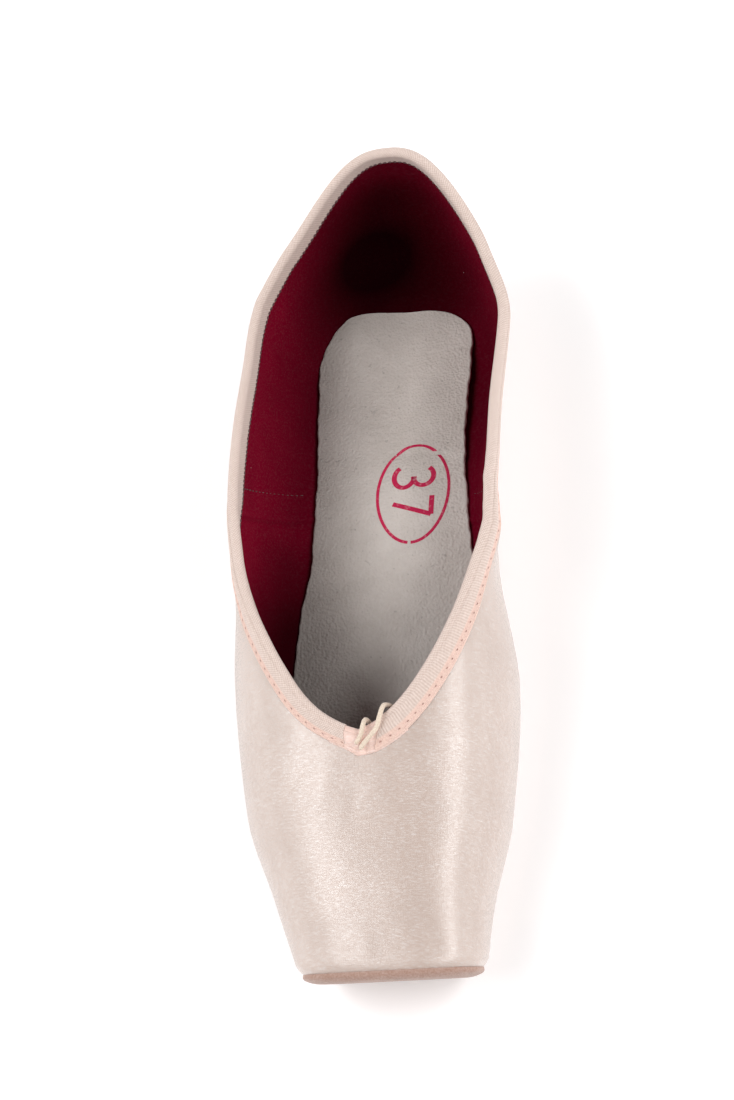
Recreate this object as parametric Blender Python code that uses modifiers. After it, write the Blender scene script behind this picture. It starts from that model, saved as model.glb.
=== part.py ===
"""A pointe shoe, modelled as its maker's pieces round one straight last.

Metres, +Z up, the toe at -Y and the heel at +Y. The origin is on the floor under the middle of the shoe,
which stands on its sole. One function gives the last's surface, and each piece is worked out from it.
"""
from collections import namedtuple
from math import cos, pi, radians, sin

import bpy
import numpy as np

MM = 0.001

# The last
LENGTH = 232 * MM
BALL_WIDTH = 75.8 * MM
INSTEP_HEIGHT = 53 * MM
HEEL_HEIGHT = 64.6 * MM
ARCH_HEIGHT = 8 * MM
TOE_SPRING = 3 * MM
SWEEP = 6.3 * MM
HEEL_ROUND = 44.3 * MM
HEEL_POWER = 1.93
PLATFORM_TILT = radians(22)
PLATFORM_LEVEL = 24.3 * MM
PLATFORM_ROUND = 4 * MM
FEATHER_ROUND = 4.5 * MM

# The opening for the foot
THROAT = 58.4 * MM
THROAT_ROUND = 0.5 * MM
OPENING_DEPTH = 40 * MM
OPENING_WIDTH = 62.3 * MM
OPENING_POWER = 0.58
COLLAR_BLEND = 10 * MM

# Walls and layers
WALL = 1.6 * MM
BOX_WALL = 2.6 * MM
BOX_RAMP = 16 * MM
BOX_FOOT = 6 * MM
CLEARANCE = 0.3 * MM
SOLE_THICKNESS = 2.3 * MM
INSOLE_THICKNESS = 2.4 * MM
PATCH_THICKNESS = 0.8 * MM
TAPE_THICKNESS = 0.6 * MM

# Outlines of the flat pieces
SOLE_TOE = 14 * MM
SOLE_HEEL = 17 * MM
SOLE_TOE_ROUND = 24 * MM
SOLE_HEEL_ROUND = 20 * MM
LASTED_MARGIN = 6 * MM
INSOLE_TOE = 24 * MM
INSOLE_TOE_ROUND = 22 * MM
INSOLE_RISE = 0.7 * MM
INSOLE_LEAST_HALF = 4 * MM
END_POWER = 2.4
PATCH_WRAP = 1.5 * MM
PATCH_DEPTH = 40 * MM
PATCH_FLATTENING = 0.55

# Edge binding, its gap at the throat and the drawstring
CASING_OUTER_LEG = 7 * MM
CASING_INNER_LEG = 5 * MM
CASING_GAP = 9 * MM
FACING_OUTER_LEG = 7.5 * MM
FACING_INNER_LEG = 4 * MM
DRAWSTRING_DIAMETER = 1.3 * MM

TIP = -LENGTH / 2
BACK = LENGTH / 2
GROUND = SOLE_THICKNESS + CLEARANCE
SHARP_EDGE = radians(40)

# Where lines on the last start from, by turn: along is a share of LENGTH and height of INSTEP_HEIGHT. heading is
# the plane's, in degrees from the toe. The starting points are pushed apart along the planes by shares of LENGTH.
Fan = namedtuple("Fan", "turn heading along height")
FAN = [
    Fan(0.00, 0, 0.42, 0.42),
    Fan(0.36, 90, 0.42, 0.42),
    Fan(0.70, 90, 0.80, 0.53),
    Fan(1.00, 180, 0.80, 0.53),
]
TOE_PUSH = 0.20
HEEL_PUSH = 0.026
SIDE_PUSH = 0.3

# Sections across the shoe, a row for each place. along is a share of LENGTH from the tip, half_width of half
# BALL_WIDTH, sweep of SWEEP; belly, roof and keel of INSTEP_HEIGHT. The belly is where the section is widest, and
# the keel is how far it would reach under the flat floor.
Section = namedtuple("Section", "along half_width belly roof keel squareness sweep")
SECTIONS = [
    Section(0.00, 0.621, 0.34, 0.59, 0.04, 2.7, 1.00),
    Section(0.10, 0.756, 0.36, 0.71, 0.06, 2.6, 0.51),
    Section(0.20, 0.922, 0.38, 0.81, 0.08, 2.5, 0.21),
    Section(0.36, 1.000, 0.47, 1.00, 0.15, 2.4, 0.00),
    Section(0.50, 0.917, 0.72, 1.25, 0.19, 2.3, -0.19),
    Section(0.64, 0.932, 1.02, 1.58, 0.22, 2.3, -0.30),
    Section(0.78, 0.932, 0.89, 1.70, 0.22, 2.4, -0.17),
    Section(0.90, 0.838, 0.81, 1.70, 0.21, 2.5, 0.18),
    Section(1.00, 0.610, 0.93, 1.70, 0.21, 2.5, 0.84),
]

# The upper's underside along the shoe: spring is a share of TOE_SPRING, arch of ARCH_HEIGHT
Underside = namedtuple("Underside", "along spring arch")
UNDERSIDE = [
    Underside(0.00, 1.00, 0.00),
    Underside(0.10, 0.33, 0.00),
    Underside(0.20, 0.00, 0.00),
    Underside(0.35, 0.00, 0.00),
    Underside(0.48, 0.00, 0.50),
    Underside(0.60, 0.00, 1.00),
    Underside(0.73, 0.00, 0.50),
    Underside(0.85, 0.00, 0.00),
    Underside(1.00, 0.00, 0.00),
]

# Height of the collar's edge over the floor along the shoe, as a share of HEEL_HEIGHT
Rim = namedtuple("Rim", "along height")
COLLAR = [
    Rim(0.26, 0.513),
    Rim(0.42, 0.687),
    Rim(0.52, 0.784),
    Rim(0.65, 0.755),
    Rim(0.80, 0.681),
    Rim(0.91, 0.734),
    Rim(1.00, 1.000),
]

# Half width of the outsole along the shoe, as a share of half BALL_WIDTH
Outline = namedtuple("Outline", "along half_width")
SOLE_OUTLINE = [
    Outline(0.06, 0.50),
    Outline(0.20, 0.64),
    Outline(0.32, 0.67),
    Outline(0.45, 0.52),
    Outline(0.58, 0.36),
    Outline(0.68, 0.36),
    Outline(0.82, 0.46),
    Outline(0.97, 0.48),
]

# The drawstring's two ends, in millimetres, from the slit in the throat facing, over the collar's edge and down
# inside the box
DRAWSTRING_ROUTES = {
    "drawstring_left": [
        (0.6, -61.0, 46.9), (1.5, -59.9, 47.4), (2.2, -58.6, 47.8), (2.7, -56.2, 48.2), (2.9, -54.2, 47.0),
        (3.2, -53.5, 44.6), (3.5, -53.8, 42.4), (3.6, -54.1, 40.4), (3.5, -54.3, 38.1), (3.2, -54.5, 35.8),
        (2.9, -54.8, 33.4), (2.6, -55.1, 30.6), (2.3, -55.3, 27.6), (2.0, -55.4, 24.4),
    ],
    "drawstring_right": [
        (1.8, -62.5, 46.6), (2.9, -61.1, 47.2), (4.5, -59.4, 47.7), (6.3, -57.1, 48.2), (7.2, -53.8, 48.7),
        (7.7, -50.8, 47.6), (8.4, -49.5, 45.3), (9.2, -49.2, 43.2), (9.6, -49.3, 41.2), (9.7, -49.5, 38.6),
        (9.6, -49.8, 35.6), (9.4, -50.2, 32.6), (9.2, -50.5, 29.8), (9.1, -50.7, 27.0),
    ],
}
CORD_SPACING = 2.5


def eased(places, values, at):
    """Cubic through rows of place and value. A slope is the harmonic mean of the rises beside it, and nothing
    where they differ in sign, so a level stretch stays level."""
    places, values = np.asarray(places, float), np.asarray(values, float)
    step = np.diff(places)
    rise = np.diff(values) / step
    alike = rise[:-1] * rise[1:] > 0
    total = np.where(alike, rise[:-1] + rise[1:], 1.0)
    slope = np.concatenate([rise[:1], np.where(alike, 2 * rise[:-1] * rise[1:] / total, 0.0), rise[-1:]])
    at = np.clip(at, places[0], places[-1])
    row = np.clip(np.searchsorted(places, at) - 1, 0, len(step) - 1)
    h = step[row]
    t = (at - places[row]) / h
    return ((1 + 2 * t) * (1 - t) ** 2 * values[row] + t * (1 - t) ** 2 * h * slope[row]
            + t * t * (3 - 2 * t) * values[row + 1] - t * t * (1 - t) * h * slope[row + 1])


def along(y):
    """Share of the length from the tip."""
    return (y - TIP) / LENGTH


def column(table, name, y):
    """One column of a table at the places y."""
    return eased([row.along for row in table], [getattr(row, name) for row in table], along(y))


def floor_height(y):
    """Height of the upper's flat underside."""
    return GROUND + TOE_SPRING * column(UNDERSIDE, "spring", y) + ARCH_HEIGHT * column(UNDERSIDE, "arch", y)


def middle(y):
    """Place of the shoe's middle line across it."""
    return SWEEP * column(SECTIONS, "sweep", y)


def rounded_meeting(a, b, radius):
    """Distance from a body bounded by two surfaces, with the edge between them rounded."""
    a, b = a + radius, b + radius
    return np.minimum(np.maximum(a, b), 0) + np.hypot(np.maximum(a, 0), np.maximum(b, 0)) - radius


def outside(points):
    """About how far points lie outside the last, and less than nothing inside it. A section is a superellipse
    about its belly, the heel is rounded by a term along the shoe, and two planes cut floor and platform."""
    x, y, z = points[..., 0], points[..., 1], points[..., 2]
    half = BALL_WIDTH / 2 * column(SECTIONS, "half_width", y)
    belly = INSTEP_HEIGHT * column(SECTIONS, "belly", y)
    roof = INSTEP_HEIGHT * column(SECTIONS, "roof", y)
    keel = INSTEP_HEIGHT * column(SECTIONS, "keel", y)
    power = column(SECTIONS, "squareness", y)
    floor = floor_height(y)
    reach = np.where(z > belly, roof - belly, belly - floor + keel)
    heel = np.clip((y - BACK + HEEL_ROUND) / HEEL_ROUND, 0, None)
    level = np.abs((x - middle(y)) / half) ** power + np.abs((z - belly) / reach) ** power + heel ** HEEL_POWER
    walls = (level ** (1 / power) - 1) * np.sqrt(half * reach)
    walls = rounded_meeting(walls, floor - z, FEATHER_ROUND)
    platform = (TIP - y) * cos(PLATFORM_TILT) - (z - PLATFORM_LEVEL) * sin(PLATFORM_TILT)
    return rounded_meeting(walls, platform, PLATFORM_ROUND)


def slope_of(points):
    """How fast outside() rises along each axis."""
    steps = 0.05 * MM * np.eye(3)
    return np.stack([outside(points + step) - outside(points - step) for step in steps], -1) / (0.1 * MM)


def normals(points):
    """Directions straight out of the last."""
    slope = slope_of(points)
    return slope / np.linalg.norm(slope, axis=-1, keepdims=True)


def depth_inside(points):
    """Distance from points inside the last out to its surface: one step along the slope, then one more."""
    depth = 0.0
    for _ in range(2):
        slope = slope_of(points)
        rise = np.maximum(np.linalg.norm(slope, axis=-1), 0.1)
        step = -outside(points) / rise
        points = points + (step / rise)[..., None] * slope
        depth = depth + step
    return depth


def leaving_points(origin, direction):
    """Where rays from inside the last leave it, found by halving a reach of a whole length."""
    low = np.zeros(direction.shape[:-1])
    high = np.full(direction.shape[:-1], LENGTH)
    for _ in range(28):
        half_way = (low + high) / 2
        beyond = outside(origin + direction * half_way[..., None]) > 0
        high = np.where(beyond, half_way, high)
        low = np.where(beyond, low, half_way)
    return origin + direction * high[..., None]


def fan(turns, samples=360):
    """Lines on the last in upright planes, from over its top, round the side, to beneath. A turn of 0 is the
    middle of the toe, 1 or -1 the middle of the heel. Planes fan out round two centres and stand across between."""
    marks, headings, places, heights = zip(*FAN)
    side = np.abs(turns)
    heading = np.radians(np.interp(side, marks, headings)) * np.where(turns < 0, -1, 1)
    centre = TIP + LENGTH * np.interp(side, marks, places)
    across, back = np.sin(heading), -np.cos(heading)
    push = LENGTH * np.where(back < 0, -TOE_PUSH * back, HEEL_PUSH * back)
    origin_y = centre + back * push
    origin_z = INSTEP_HEIGHT * np.interp(side, marks, heights)
    origin = np.stack([middle(origin_y) + SIDE_PUSH * across * push, origin_y, origin_z], -1)
    angle = np.radians(np.linspace(-100, 200, samples))
    direction = np.stack([np.sin(angle) * across[:, None], np.sin(angle) * back[:, None],
                          np.cos(angle) + 0 * across[:, None]], -1)
    return leaving_points(origin[:, None], direction), angle


def in_opening(points):
    """Above nothing where the foot's opening takes the upper away: over the collar's side height, and within
    the rounded V of the throat as seen from above."""
    x, y, z = points[..., 0], points[..., 1], points[..., 2]
    back = y - TIP - THROAT
    depth = (np.hypot(back, THROAT_ROUND) - THROAT_ROUND) / OPENING_DEPTH
    from_top = np.sign(back) * OPENING_WIDTH / 2 * depth ** OPENING_POWER - np.abs(x - middle(y))
    from_side = z - HEEL_HEIGHT * column(COLLAR, "height", y)
    share = np.clip(0.5 + 0.5 * (from_side - from_top) / COLLAR_BLEND, 0, 1)
    return from_top * share + from_side * (1 - share) - COLLAR_BLEND * share * (1 - share)


def rounded_ends(first, last, first_round, last_round, y):
    """Share of its width that a flat piece has at y, with rounded ends, and below nothing past them."""
    over = np.clip(np.maximum((first + first_round - y) / first_round, (y - last + last_round) / last_round), 0, None)
    inside = np.clip(1 - over ** END_POWER, 0, None) ** (1 / END_POWER)
    return np.where(over < 1, inside, 1 - over)


def sole_half_width(y, inset=0.0):
    """Half width of the outsole at y, or of an outline within it."""
    half = BALL_WIDTH / 2 * column(SOLE_OUTLINE, "half_width", y) - inset
    ends = rounded_ends(TIP + SOLE_TOE + inset, BACK - SOLE_HEEL - inset, SOLE_TOE_ROUND, SOLE_HEEL_ROUND, y)
    return half * ends


def in_underside(points):
    """Above nothing in the opening of the upper's underside, which the outsole closes with a margin all round."""
    x, y, z = points[..., 0], points[..., 1], points[..., 2]
    room = sole_half_width(y, LASTED_MARGIN) - np.abs(x - middle(y))
    return np.minimum(room, floor_height(y) + FEATHER_ROUND - z)


def read(lines, places):
    """Points of lines at places counted in samples, a row of places for each line."""
    low = np.clip(np.floor(places).astype(int), 0, lines.shape[1] - 2)
    t = (places - low)[..., None]
    row = np.arange(len(lines))[:, None]
    return lines[row, low] * (1 - t) + lines[row, low + 1] * t


def crossing(field, inner, outer):
    """Places, in samples, where a field passes nothing between the samples inner and outer of each line."""
    row = np.arange(len(field))
    a, b = field[row, inner], field[row, outer]
    share = a / np.where(a == b, 1, a - b)
    return inner + np.clip(share, 0, 1) * (outer - inner)


def trimmed_lines(turns):
    """The fan's lines with the places of the collar's edge and of the lasted edge on each."""
    lines, angle = fan(np.asarray(turns, float))
    number = np.arange(lines.shape[1])
    level = int(np.argmin(np.abs(angle - pi / 2)))
    opening, underside = in_opening(lines), in_underside(lines)
    top = np.where((opening > 0) & (number <= level), number, 0).max(1)
    bottom = np.where((underside > 0) & (number >= level), number, number[-1]).min(1)
    return lines, crossing(opening, top, top + 1), crossing(underside, bottom, bottom - 1)


def spread_along(lines, first, last, shares, bend=12 * MM):
    """Points along lines at shares of their way, closer where a line bends: a radian counts as its bend more."""
    fine = np.linspace(0, 1, 400)
    dense = read(lines, first[:, None] + (last - first)[:, None] * fine)
    step = np.diff(dense, axis=1)
    length = np.linalg.norm(step, axis=-1)
    unit = step / np.maximum(length, 1e-9)[..., None]
    turn = np.zeros_like(length)
    turn[:, 1:] = np.arccos(np.clip((unit[:, 1:] * unit[:, :-1]).sum(-1), -1, 1))
    way = np.concatenate([np.zeros((len(lines), 1)), np.cumsum(length + bend * turn, 1)], 1)
    place = np.stack([np.interp(shares * w[-1], w, fine) for w in way])
    return read(lines, first[:, None] + (last - first)[:, None] * place)


def below_collar(turns, distances):
    """Points on the outer surface at distances down from the collar's edge, a row for each turn."""
    lines, first, last = trimmed_lines(turns)
    fine = np.linspace(0, 1, 400)
    dense = read(lines, first[:, None] + (last - first)[:, None] * fine)
    way = np.cumsum(np.linalg.norm(np.diff(dense, axis=1, prepend=dense[:, :1]), axis=-1), 1)
    place = np.stack([np.interp(distances, w, fine) for w in way])
    return read(lines, first[:, None] + (last - first)[:, None] * place)


def throat_turn(distance):
    """The turn whose line meets the collar's edge at a distance along it from the middle of the throat."""
    turns = np.linspace(0, 0.2, 60)
    edge = below_collar(turns, [0])[:, 0]
    way = np.cumsum(np.linalg.norm(np.diff(edge, axis=0, prepend=edge[:1]), axis=-1))
    return float(np.interp(distance, way, turns))


def box_share(points):
    """How much of the box's extra thickness the wall has: all of it over the toes, none behind the throat, and
    none in the underside that the insole lies on."""
    y, z = points[..., 1], points[..., 2]
    ahead = (TIP + THROAT - CASING_INNER_LEG - y) / BOX_RAMP
    up = (z - floor_height(y) - BOX_FOOT) / (BOX_RAMP / 2)
    return np.clip(np.minimum(ahead, up), 0, 1)


def half_turns():
    """The turns of the upper's lines from the middle of the throat to the middle of the heel."""
    return np.concatenate([[0, 0.009], np.linspace(0.024, 1, 41)])


def grid_faces(rows, columns, closed):
    """Faces of a grid of points, with the last row joined to the first where it is closed."""
    row = np.arange(rows if closed else rows - 1)[:, None]
    after = (row + 1) % rows
    place = np.arange(columns - 1)
    corners = [row * columns + place, row * columns + place + 1, after * columns + place + 1, after * columns + place]
    return np.stack(corners, -1).reshape(-1, 4)


def material(name, colour, roughness, sheen=0.0):
    """A plain finish whose colour is given in sRGB hex."""
    finish = bpy.data.materials.new(name)
    finish.use_nodes = True
    shader = finish.node_tree.nodes["Principled BSDF"]
    parts = [int(colour[i:i + 2], 16) / 255 for i in (0, 2, 4)]
    linear = [part / 12.92 if part <= 0.04045 else ((part + 0.055) / 1.055) ** 2.4 for part in parts]
    shader.inputs["Base Color"].default_value = (*linear, 1)
    shader.inputs["Roughness"].default_value = roughness
    shader.inputs["Metallic"].default_value = 0
    shader.inputs["Sheen Weight"].default_value = sheen
    return finish


def mesh_object(name, points, faces, finish, collection):
    """A smooth-shaded object made of the points and faces."""
    mesh = bpy.data.meshes.new(name)
    mesh.from_pydata(points.reshape(-1, 3).tolist(), [], [list(map(int, face)) for face in faces])
    mesh.update()
    mesh.shade_smooth()
    mesh.set_sharp_from_angle(angle=SHARP_EDGE)
    mesh.materials.append(finish)
    piece = bpy.data.objects.new(name, mesh)
    collection.objects.link(piece)
    return piece


def thicken(piece, thickness, offset):
    """Give an open surface its thickness: offset -1 inwards, 0 both ways, 1 outwards."""
    solidify = piece.modifiers.new("thickness", "SOLIDIFY")
    solidify.thickness = thickness
    solidify.offset = offset
    solidify.use_even_offset = True
    solidify.use_quality_normals = True
    return solidify


def make_upper(collection):
    """The upper and box: the last's surface from the collar to the lasted edge, with its wall inside it."""
    half = half_turns()
    turns = np.concatenate([half, -half[-2:0:-1]])
    points = spread_along(*trimmed_lines(turns), np.linspace(0, 1, 20))
    faces = grid_faces(*points.shape[:2], closed=True)
    upper = mesh_object("upper", points, faces, material("pale pink satin", "E8D9D2", 0.42, 0.3), collection)
    stiffened = upper.vertex_groups.new(name="box")
    for index, share in enumerate(box_share(points).ravel()):
        stiffened.add([index], float(share), "REPLACE")
    solidify = thicken(upper, BOX_WALL, -1)
    solidify.vertex_group = stiffened.name
    solidify.thickness_vertex_group = WALL / BOX_WALL


def make_plate(name, x, y, bottom, thickness, finish, collection):
    """A flat piece over its bottom surface, which is given as rows of points across the shoe."""
    points = np.stack([x, y[:, None] + 0 * x, bottom], -1)
    plate = mesh_object(name, points, grid_faces(*points.shape[:2], closed=False), finish, collection)
    thicken(plate, thickness, 1)


def end_to_end(first, last, count):
    """Places from one end of a flat piece to the other, closer at its rounded ends."""
    return first + (last - first) * (1 - np.cos(pi * np.linspace(0.04, 0.96, count))) / 2


def side_to_side(y, half, count):
    """Places across the shoe from one side of a flat piece to the other, closer at its sides."""
    return middle(y)[:, None] + half[:, None] * np.sin(np.linspace(-pi / 2, pi / 2, count))


def make_outsole(collection):
    """The narrow leather sole. Its top follows the upper's underside, and it is flat at forefoot and heel."""
    y = end_to_end(TIP + SOLE_TOE, BACK - SOLE_HEEL, 40)
    x = side_to_side(y, sole_half_width(y), 5)
    bottom = floor_height(y)[:, None] - CLEARANCE - SOLE_THICKNESS + 0 * x
    finish = material("tan sole leather", "B9A188", 0.7)
    make_plate("outsole", x, y, bottom, SOLE_THICKNESS, finish, collection)


def halved(low, high, holds):
    """The largest values between low and high for which a test still holds, found by halving."""
    for _ in range(24):
        half_way = (low + high) / 2
        held = holds(half_way)
        low = np.where(held, half_way, low)
        high = np.where(held, high, half_way)
    return low


def inside_half_width(y, height):
    """Half width of the room inside the upper's walls at a height over its underside."""
    def fits(half):
        points = np.stack([middle(y) + half, y, floor_height(y) + height], -1)
        return depth_inside(points) > WALL + CLEARANCE
    return halved(np.zeros_like(y), np.full_like(y, BALL_WIDTH), fits)


def inside_floor(x, y):
    """Height of the room's floor at x and y, a clearance over the lasted edge and up its rounding."""
    y = y[:, None] + 0 * x
    least = WALL + CLEARANCE - 0.001 * MM

    def too_low(height):
        return depth_inside(np.stack([x, y, floor_height(y) + height], -1)) < least
    return floor_height(y) + halved(0 * x, 0 * x + 4 * FEATHER_ROUND, too_low)


def make_insole(collection):
    """The insole on the lasted edge. It fills the room between the walls and turns up a little at its edge."""
    places = np.linspace(TIP + INSOLE_TOE, BACK, 400)
    room = inside_half_width(places, WALL + CLEARANCE + INSOLE_RISE)
    last = places[room > INSOLE_LEAST_HALF].max()
    first = TIP + INSOLE_TOE
    y = end_to_end(first, last, 34)
    room = inside_half_width(y, WALL + CLEARANCE + INSOLE_RISE)
    half = room * rounded_ends(first, last + MM, INSOLE_TOE_ROUND, MM, y)
    x = side_to_side(y, half, 7)
    finish = material("grey insole leather", "B4ADA5", 0.6)
    make_plate("insole", x, y, inside_floor(x, y), INSOLE_THICKNESS, finish, collection)


def make_platform_patch(collection):
    """The patch over the flat tip, worked out on rays from inside it and wrapped a little round its edge."""
    around = np.linspace(0, 2 * pi, 36, endpoint=False)[:, None]
    slant = np.linspace(0.02, 1.1, 300) * np.ones_like(around)
    direction = np.stack([slant * np.cos(around), -np.ones_like(slant),
                          PATCH_FLATTENING * slant * np.sin(around)], -1)
    centre = np.array([middle(TIP), TIP + PATCH_DEPTH, INSTEP_HEIGHT * SECTIONS[0].belly])
    lines = leaving_points(centre, direction)
    behind = ((lines[..., 1] - TIP) * cos(PLATFORM_TILT) + (lines[..., 2] - PLATFORM_LEVEL) * sin(PLATFORM_TILT)
              - PATCH_WRAP)
    past = np.where(behind > 0, np.arange(lines.shape[1]), lines.shape[1] - 1).min(1)
    points = spread_along(lines, np.zeros(len(lines)), crossing(behind, past, past - 1), np.linspace(0.4, 1, 5))
    points = points + CLEARANCE * normals(points)
    rows, columns = points.shape[:2]
    faces = [*grid_faces(rows, columns, closed=True), range(0, rows * columns, columns)]
    finish = material("beige suede", "D3BFAA", 0.9)
    patch = mesh_object("platform_patch", points, faces, finish, collection)
    thicken(patch, PATCH_THICKNESS, 1)


def make_binding(name, turns, outer_leg, inner_leg, finish, collection):
    """A tape folded over the collar's edge: up the inside, round over the edge, and down the outside."""
    stand_off = CLEARANCE + TAPE_THICKNESS / 2
    distances = [0, 0.6 * outer_leg, outer_leg, inner_leg]
    edge, outer_middle, outer_end, inner_end = np.moveaxis(below_collar(turns, distances), 1, 0)
    out = normals(edge)
    down = below_collar(turns, [MM])[:, 0] - edge
    down = down - out * (down * out).sum(-1, keepdims=True)
    down = down / np.linalg.norm(down, axis=-1, keepdims=True)
    centre = edge - out * WALL / 2
    crown = [centre - (WALL / 2 + stand_off) * (np.cos(a) * out + np.sin(a) * down) for a in np.linspace(0, pi, 5)]
    inner = inner_end - (WALL + stand_off) * normals(inner_end)
    outer = [point + stand_off * normals(point) for point in (outer_middle, outer_end)]
    points = np.stack([inner, *crown, *outer], 1)
    binding = mesh_object(name, points, grid_faces(*points.shape[:2], closed=False), finish, collection)
    thicken(binding, TAPE_THICKNESS, 0)


def make_casing(collection):
    """The drawstring's casing, from one side of the throat round the heel to the other."""
    start = throat_turn(CASING_GAP / 2)
    half = half_turns()
    half = np.concatenate([[start], half[half > start + 0.25 * half[1]]])
    turns = np.concatenate([half, -half[-2::-1]])
    make_binding("casing", turns, CASING_OUTER_LEG, CASING_INNER_LEG,
                 material("pale pink cotton tape", "EBD3CB", 0.85), collection)


def make_throat_facing(collection):
    """The short satin piece over the edge between the casing's two ends."""
    end = throat_turn(CASING_GAP / 2 - CLEARANCE)
    make_binding("throat_facing", np.linspace(-end, end, 5), FACING_OUTER_LEG, FACING_INNER_LEG,
                 material("pink facing satin", "EBCDC3", 0.45, 0.3), collection)


def smooth_route(points, spacing):
    """Points about a spacing apart on the Catmull-Rom curve through a route's own points."""
    p = np.concatenate([[2 * points[0] - points[1]], points, [2 * points[-1] - points[-2]]])
    t = np.linspace(0, 1, 20, endpoint=False)[:, None]
    spans = [0.5 * (2 * b + (c - a) * t + (2 * a - 5 * b + 4 * c - d) * t ** 2 + (3 * b - a - 3 * c + d) * t ** 3)
             for a, b, c, d in zip(p, p[1:], p[2:], p[3:])]
    curve = np.concatenate([*spans, points[-1:]])
    way = np.cumsum(np.linalg.norm(np.diff(curve, axis=0, prepend=curve[:1]), axis=-1))
    places = np.linspace(0, way[-1], max(2, round(way[-1] / spacing) + 1))
    return np.stack([np.interp(places, way, axis) for axis in curve.T], -1)


def make_drawstring(name, route, finish, collection):
    """One end of the drawstring, a round cord along its route."""
    points = smooth_route(np.array(route) * MM, CORD_SPACING * DRAWSTRING_DIAMETER)
    curve = bpy.data.curves.new(name, "CURVE")
    curve.dimensions = "3D"
    curve.bevel_depth = DRAWSTRING_DIAMETER / 2
    curve.bevel_resolution = 2
    curve.use_fill_caps = True
    spline = curve.splines.new("POLY")
    spline.points.add(len(points) - 1)
    spline.points.foreach_set("co", np.column_stack([points, np.ones(len(points))]).ravel())
    curve.materials.append(finish)
    collection.objects.link(bpy.data.objects.new(name, curve))


def main():
    for old in list(bpy.data.objects):
        bpy.data.objects.remove(old, do_unlink=True)
    collection = bpy.data.collections.new("pointe_shoe")
    bpy.context.scene.collection.children.link(collection)
    make_upper(collection)
    make_outsole(collection)
    make_insole(collection)
    make_platform_patch(collection)
    make_casing(collection)
    make_throat_facing(collection)
    cotton = material("beige cotton cord", "E3D2BE", 0.8)
    for name, route in DRAWSTRING_ROUTES.items():
        make_drawstring(name, route, cotton, collection)


main()
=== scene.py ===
"""The looks of a satin pointe shoe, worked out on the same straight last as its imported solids.

Metres, +Z up, toe at -Y, heel at +Y. Each piece is a surface computed with numpy: rings of points carried
along the shoe, with small relief for seams, folds and pleats, and a finish that follows the real material.
"""
from collections import namedtuple
from functools import lru_cache
from math import cos, pi, radians, sin

import bpy
import numpy as np
from mathutils import Matrix, Vector


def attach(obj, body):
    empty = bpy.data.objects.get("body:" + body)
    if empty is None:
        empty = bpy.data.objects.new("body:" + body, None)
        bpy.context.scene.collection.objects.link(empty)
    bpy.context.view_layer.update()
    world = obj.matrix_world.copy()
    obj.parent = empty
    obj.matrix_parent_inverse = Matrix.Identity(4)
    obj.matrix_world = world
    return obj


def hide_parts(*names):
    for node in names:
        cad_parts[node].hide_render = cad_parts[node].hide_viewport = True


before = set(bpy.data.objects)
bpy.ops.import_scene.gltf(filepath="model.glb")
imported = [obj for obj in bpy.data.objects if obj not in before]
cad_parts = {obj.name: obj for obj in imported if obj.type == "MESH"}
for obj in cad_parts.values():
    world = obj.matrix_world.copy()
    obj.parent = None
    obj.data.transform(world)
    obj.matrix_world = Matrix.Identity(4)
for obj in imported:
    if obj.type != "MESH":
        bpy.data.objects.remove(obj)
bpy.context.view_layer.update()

bl_info = {
    "name": "Pointe Shoe",
    "version": (1, 0, 0),
    "blender": (4, 5, 0),
    "location": "3D View > Sidebar > Pointe Shoe",
    "description": "Makes a satin pointe shoe round its packed solids",
    "category": "Object",
}

MM = 0.001

# The last, with the same sizes as the solids
LENGTH = 232 * MM
BALL_WIDTH = 75.8 * MM
INSTEP_HEIGHT = 53 * MM
HEEL_HEIGHT = 64.6 * MM
ARCH_HEIGHT = 8 * MM
TOE_SPRING = 3 * MM
SWEEP = 6.3 * MM
HEEL_ROUND = 44.3 * MM
HEEL_POWER = 1.93
PLATFORM_TILT = radians(22)
PLATFORM_LEVEL = 24.3 * MM
PLATFORM_ROUND = 4 * MM
FEATHER_ROUND = 4.5 * MM
THROAT = 58.4 * MM
THROAT_ROUND = 0.5 * MM
OPENING_DEPTH = 40 * MM
OPENING_WIDTH = 62.3 * MM
OPENING_POWER = 0.58
COLLAR_BLEND = 10 * MM
WALL = 1.6 * MM
BOX_WALL = 2.6 * MM
BOX_RAMP = 16 * MM
BOX_FOOT = 6 * MM
CLEARANCE = 0.3 * MM
SOLE_THICKNESS = 2.3 * MM
SOLE_TOE = 14 * MM
SOLE_HEEL = 17 * MM
SOLE_TOE_ROUND = 24 * MM
SOLE_HEEL_ROUND = 20 * MM
LASTED_MARGIN = 6 * MM
INSOLE_TOE = 24 * MM
INSOLE_TOE_ROUND = 22 * MM
INSOLE_TOP = 4.3 * MM
INSOLE_BACK = 98 * MM
INSOLE_HEEL_ROUND = 13 * MM
INSOLE_CURL = 4 * MM
INSOLE_CURLS = (62 * MM, 92 * MM)
INSOLE_EDGE = 0.5 * MM
INSOLE_THICKNESS = 1.6 * MM
END_POWER = 2.4
PATCH_WRAP = 1.5 * MM
PATCH_DEPTH = 40 * MM
PATCH_FLATTENING = 0.55
CASING_INNER_LEG = 5 * MM
BELLY_BLEND = 3 * MM
NUDGE = 0.05 * MM
TIP = -LENGTH / 2
BACK = LENGTH / 2
GROUND = SOLE_THICKNESS + CLEARANCE

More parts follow.
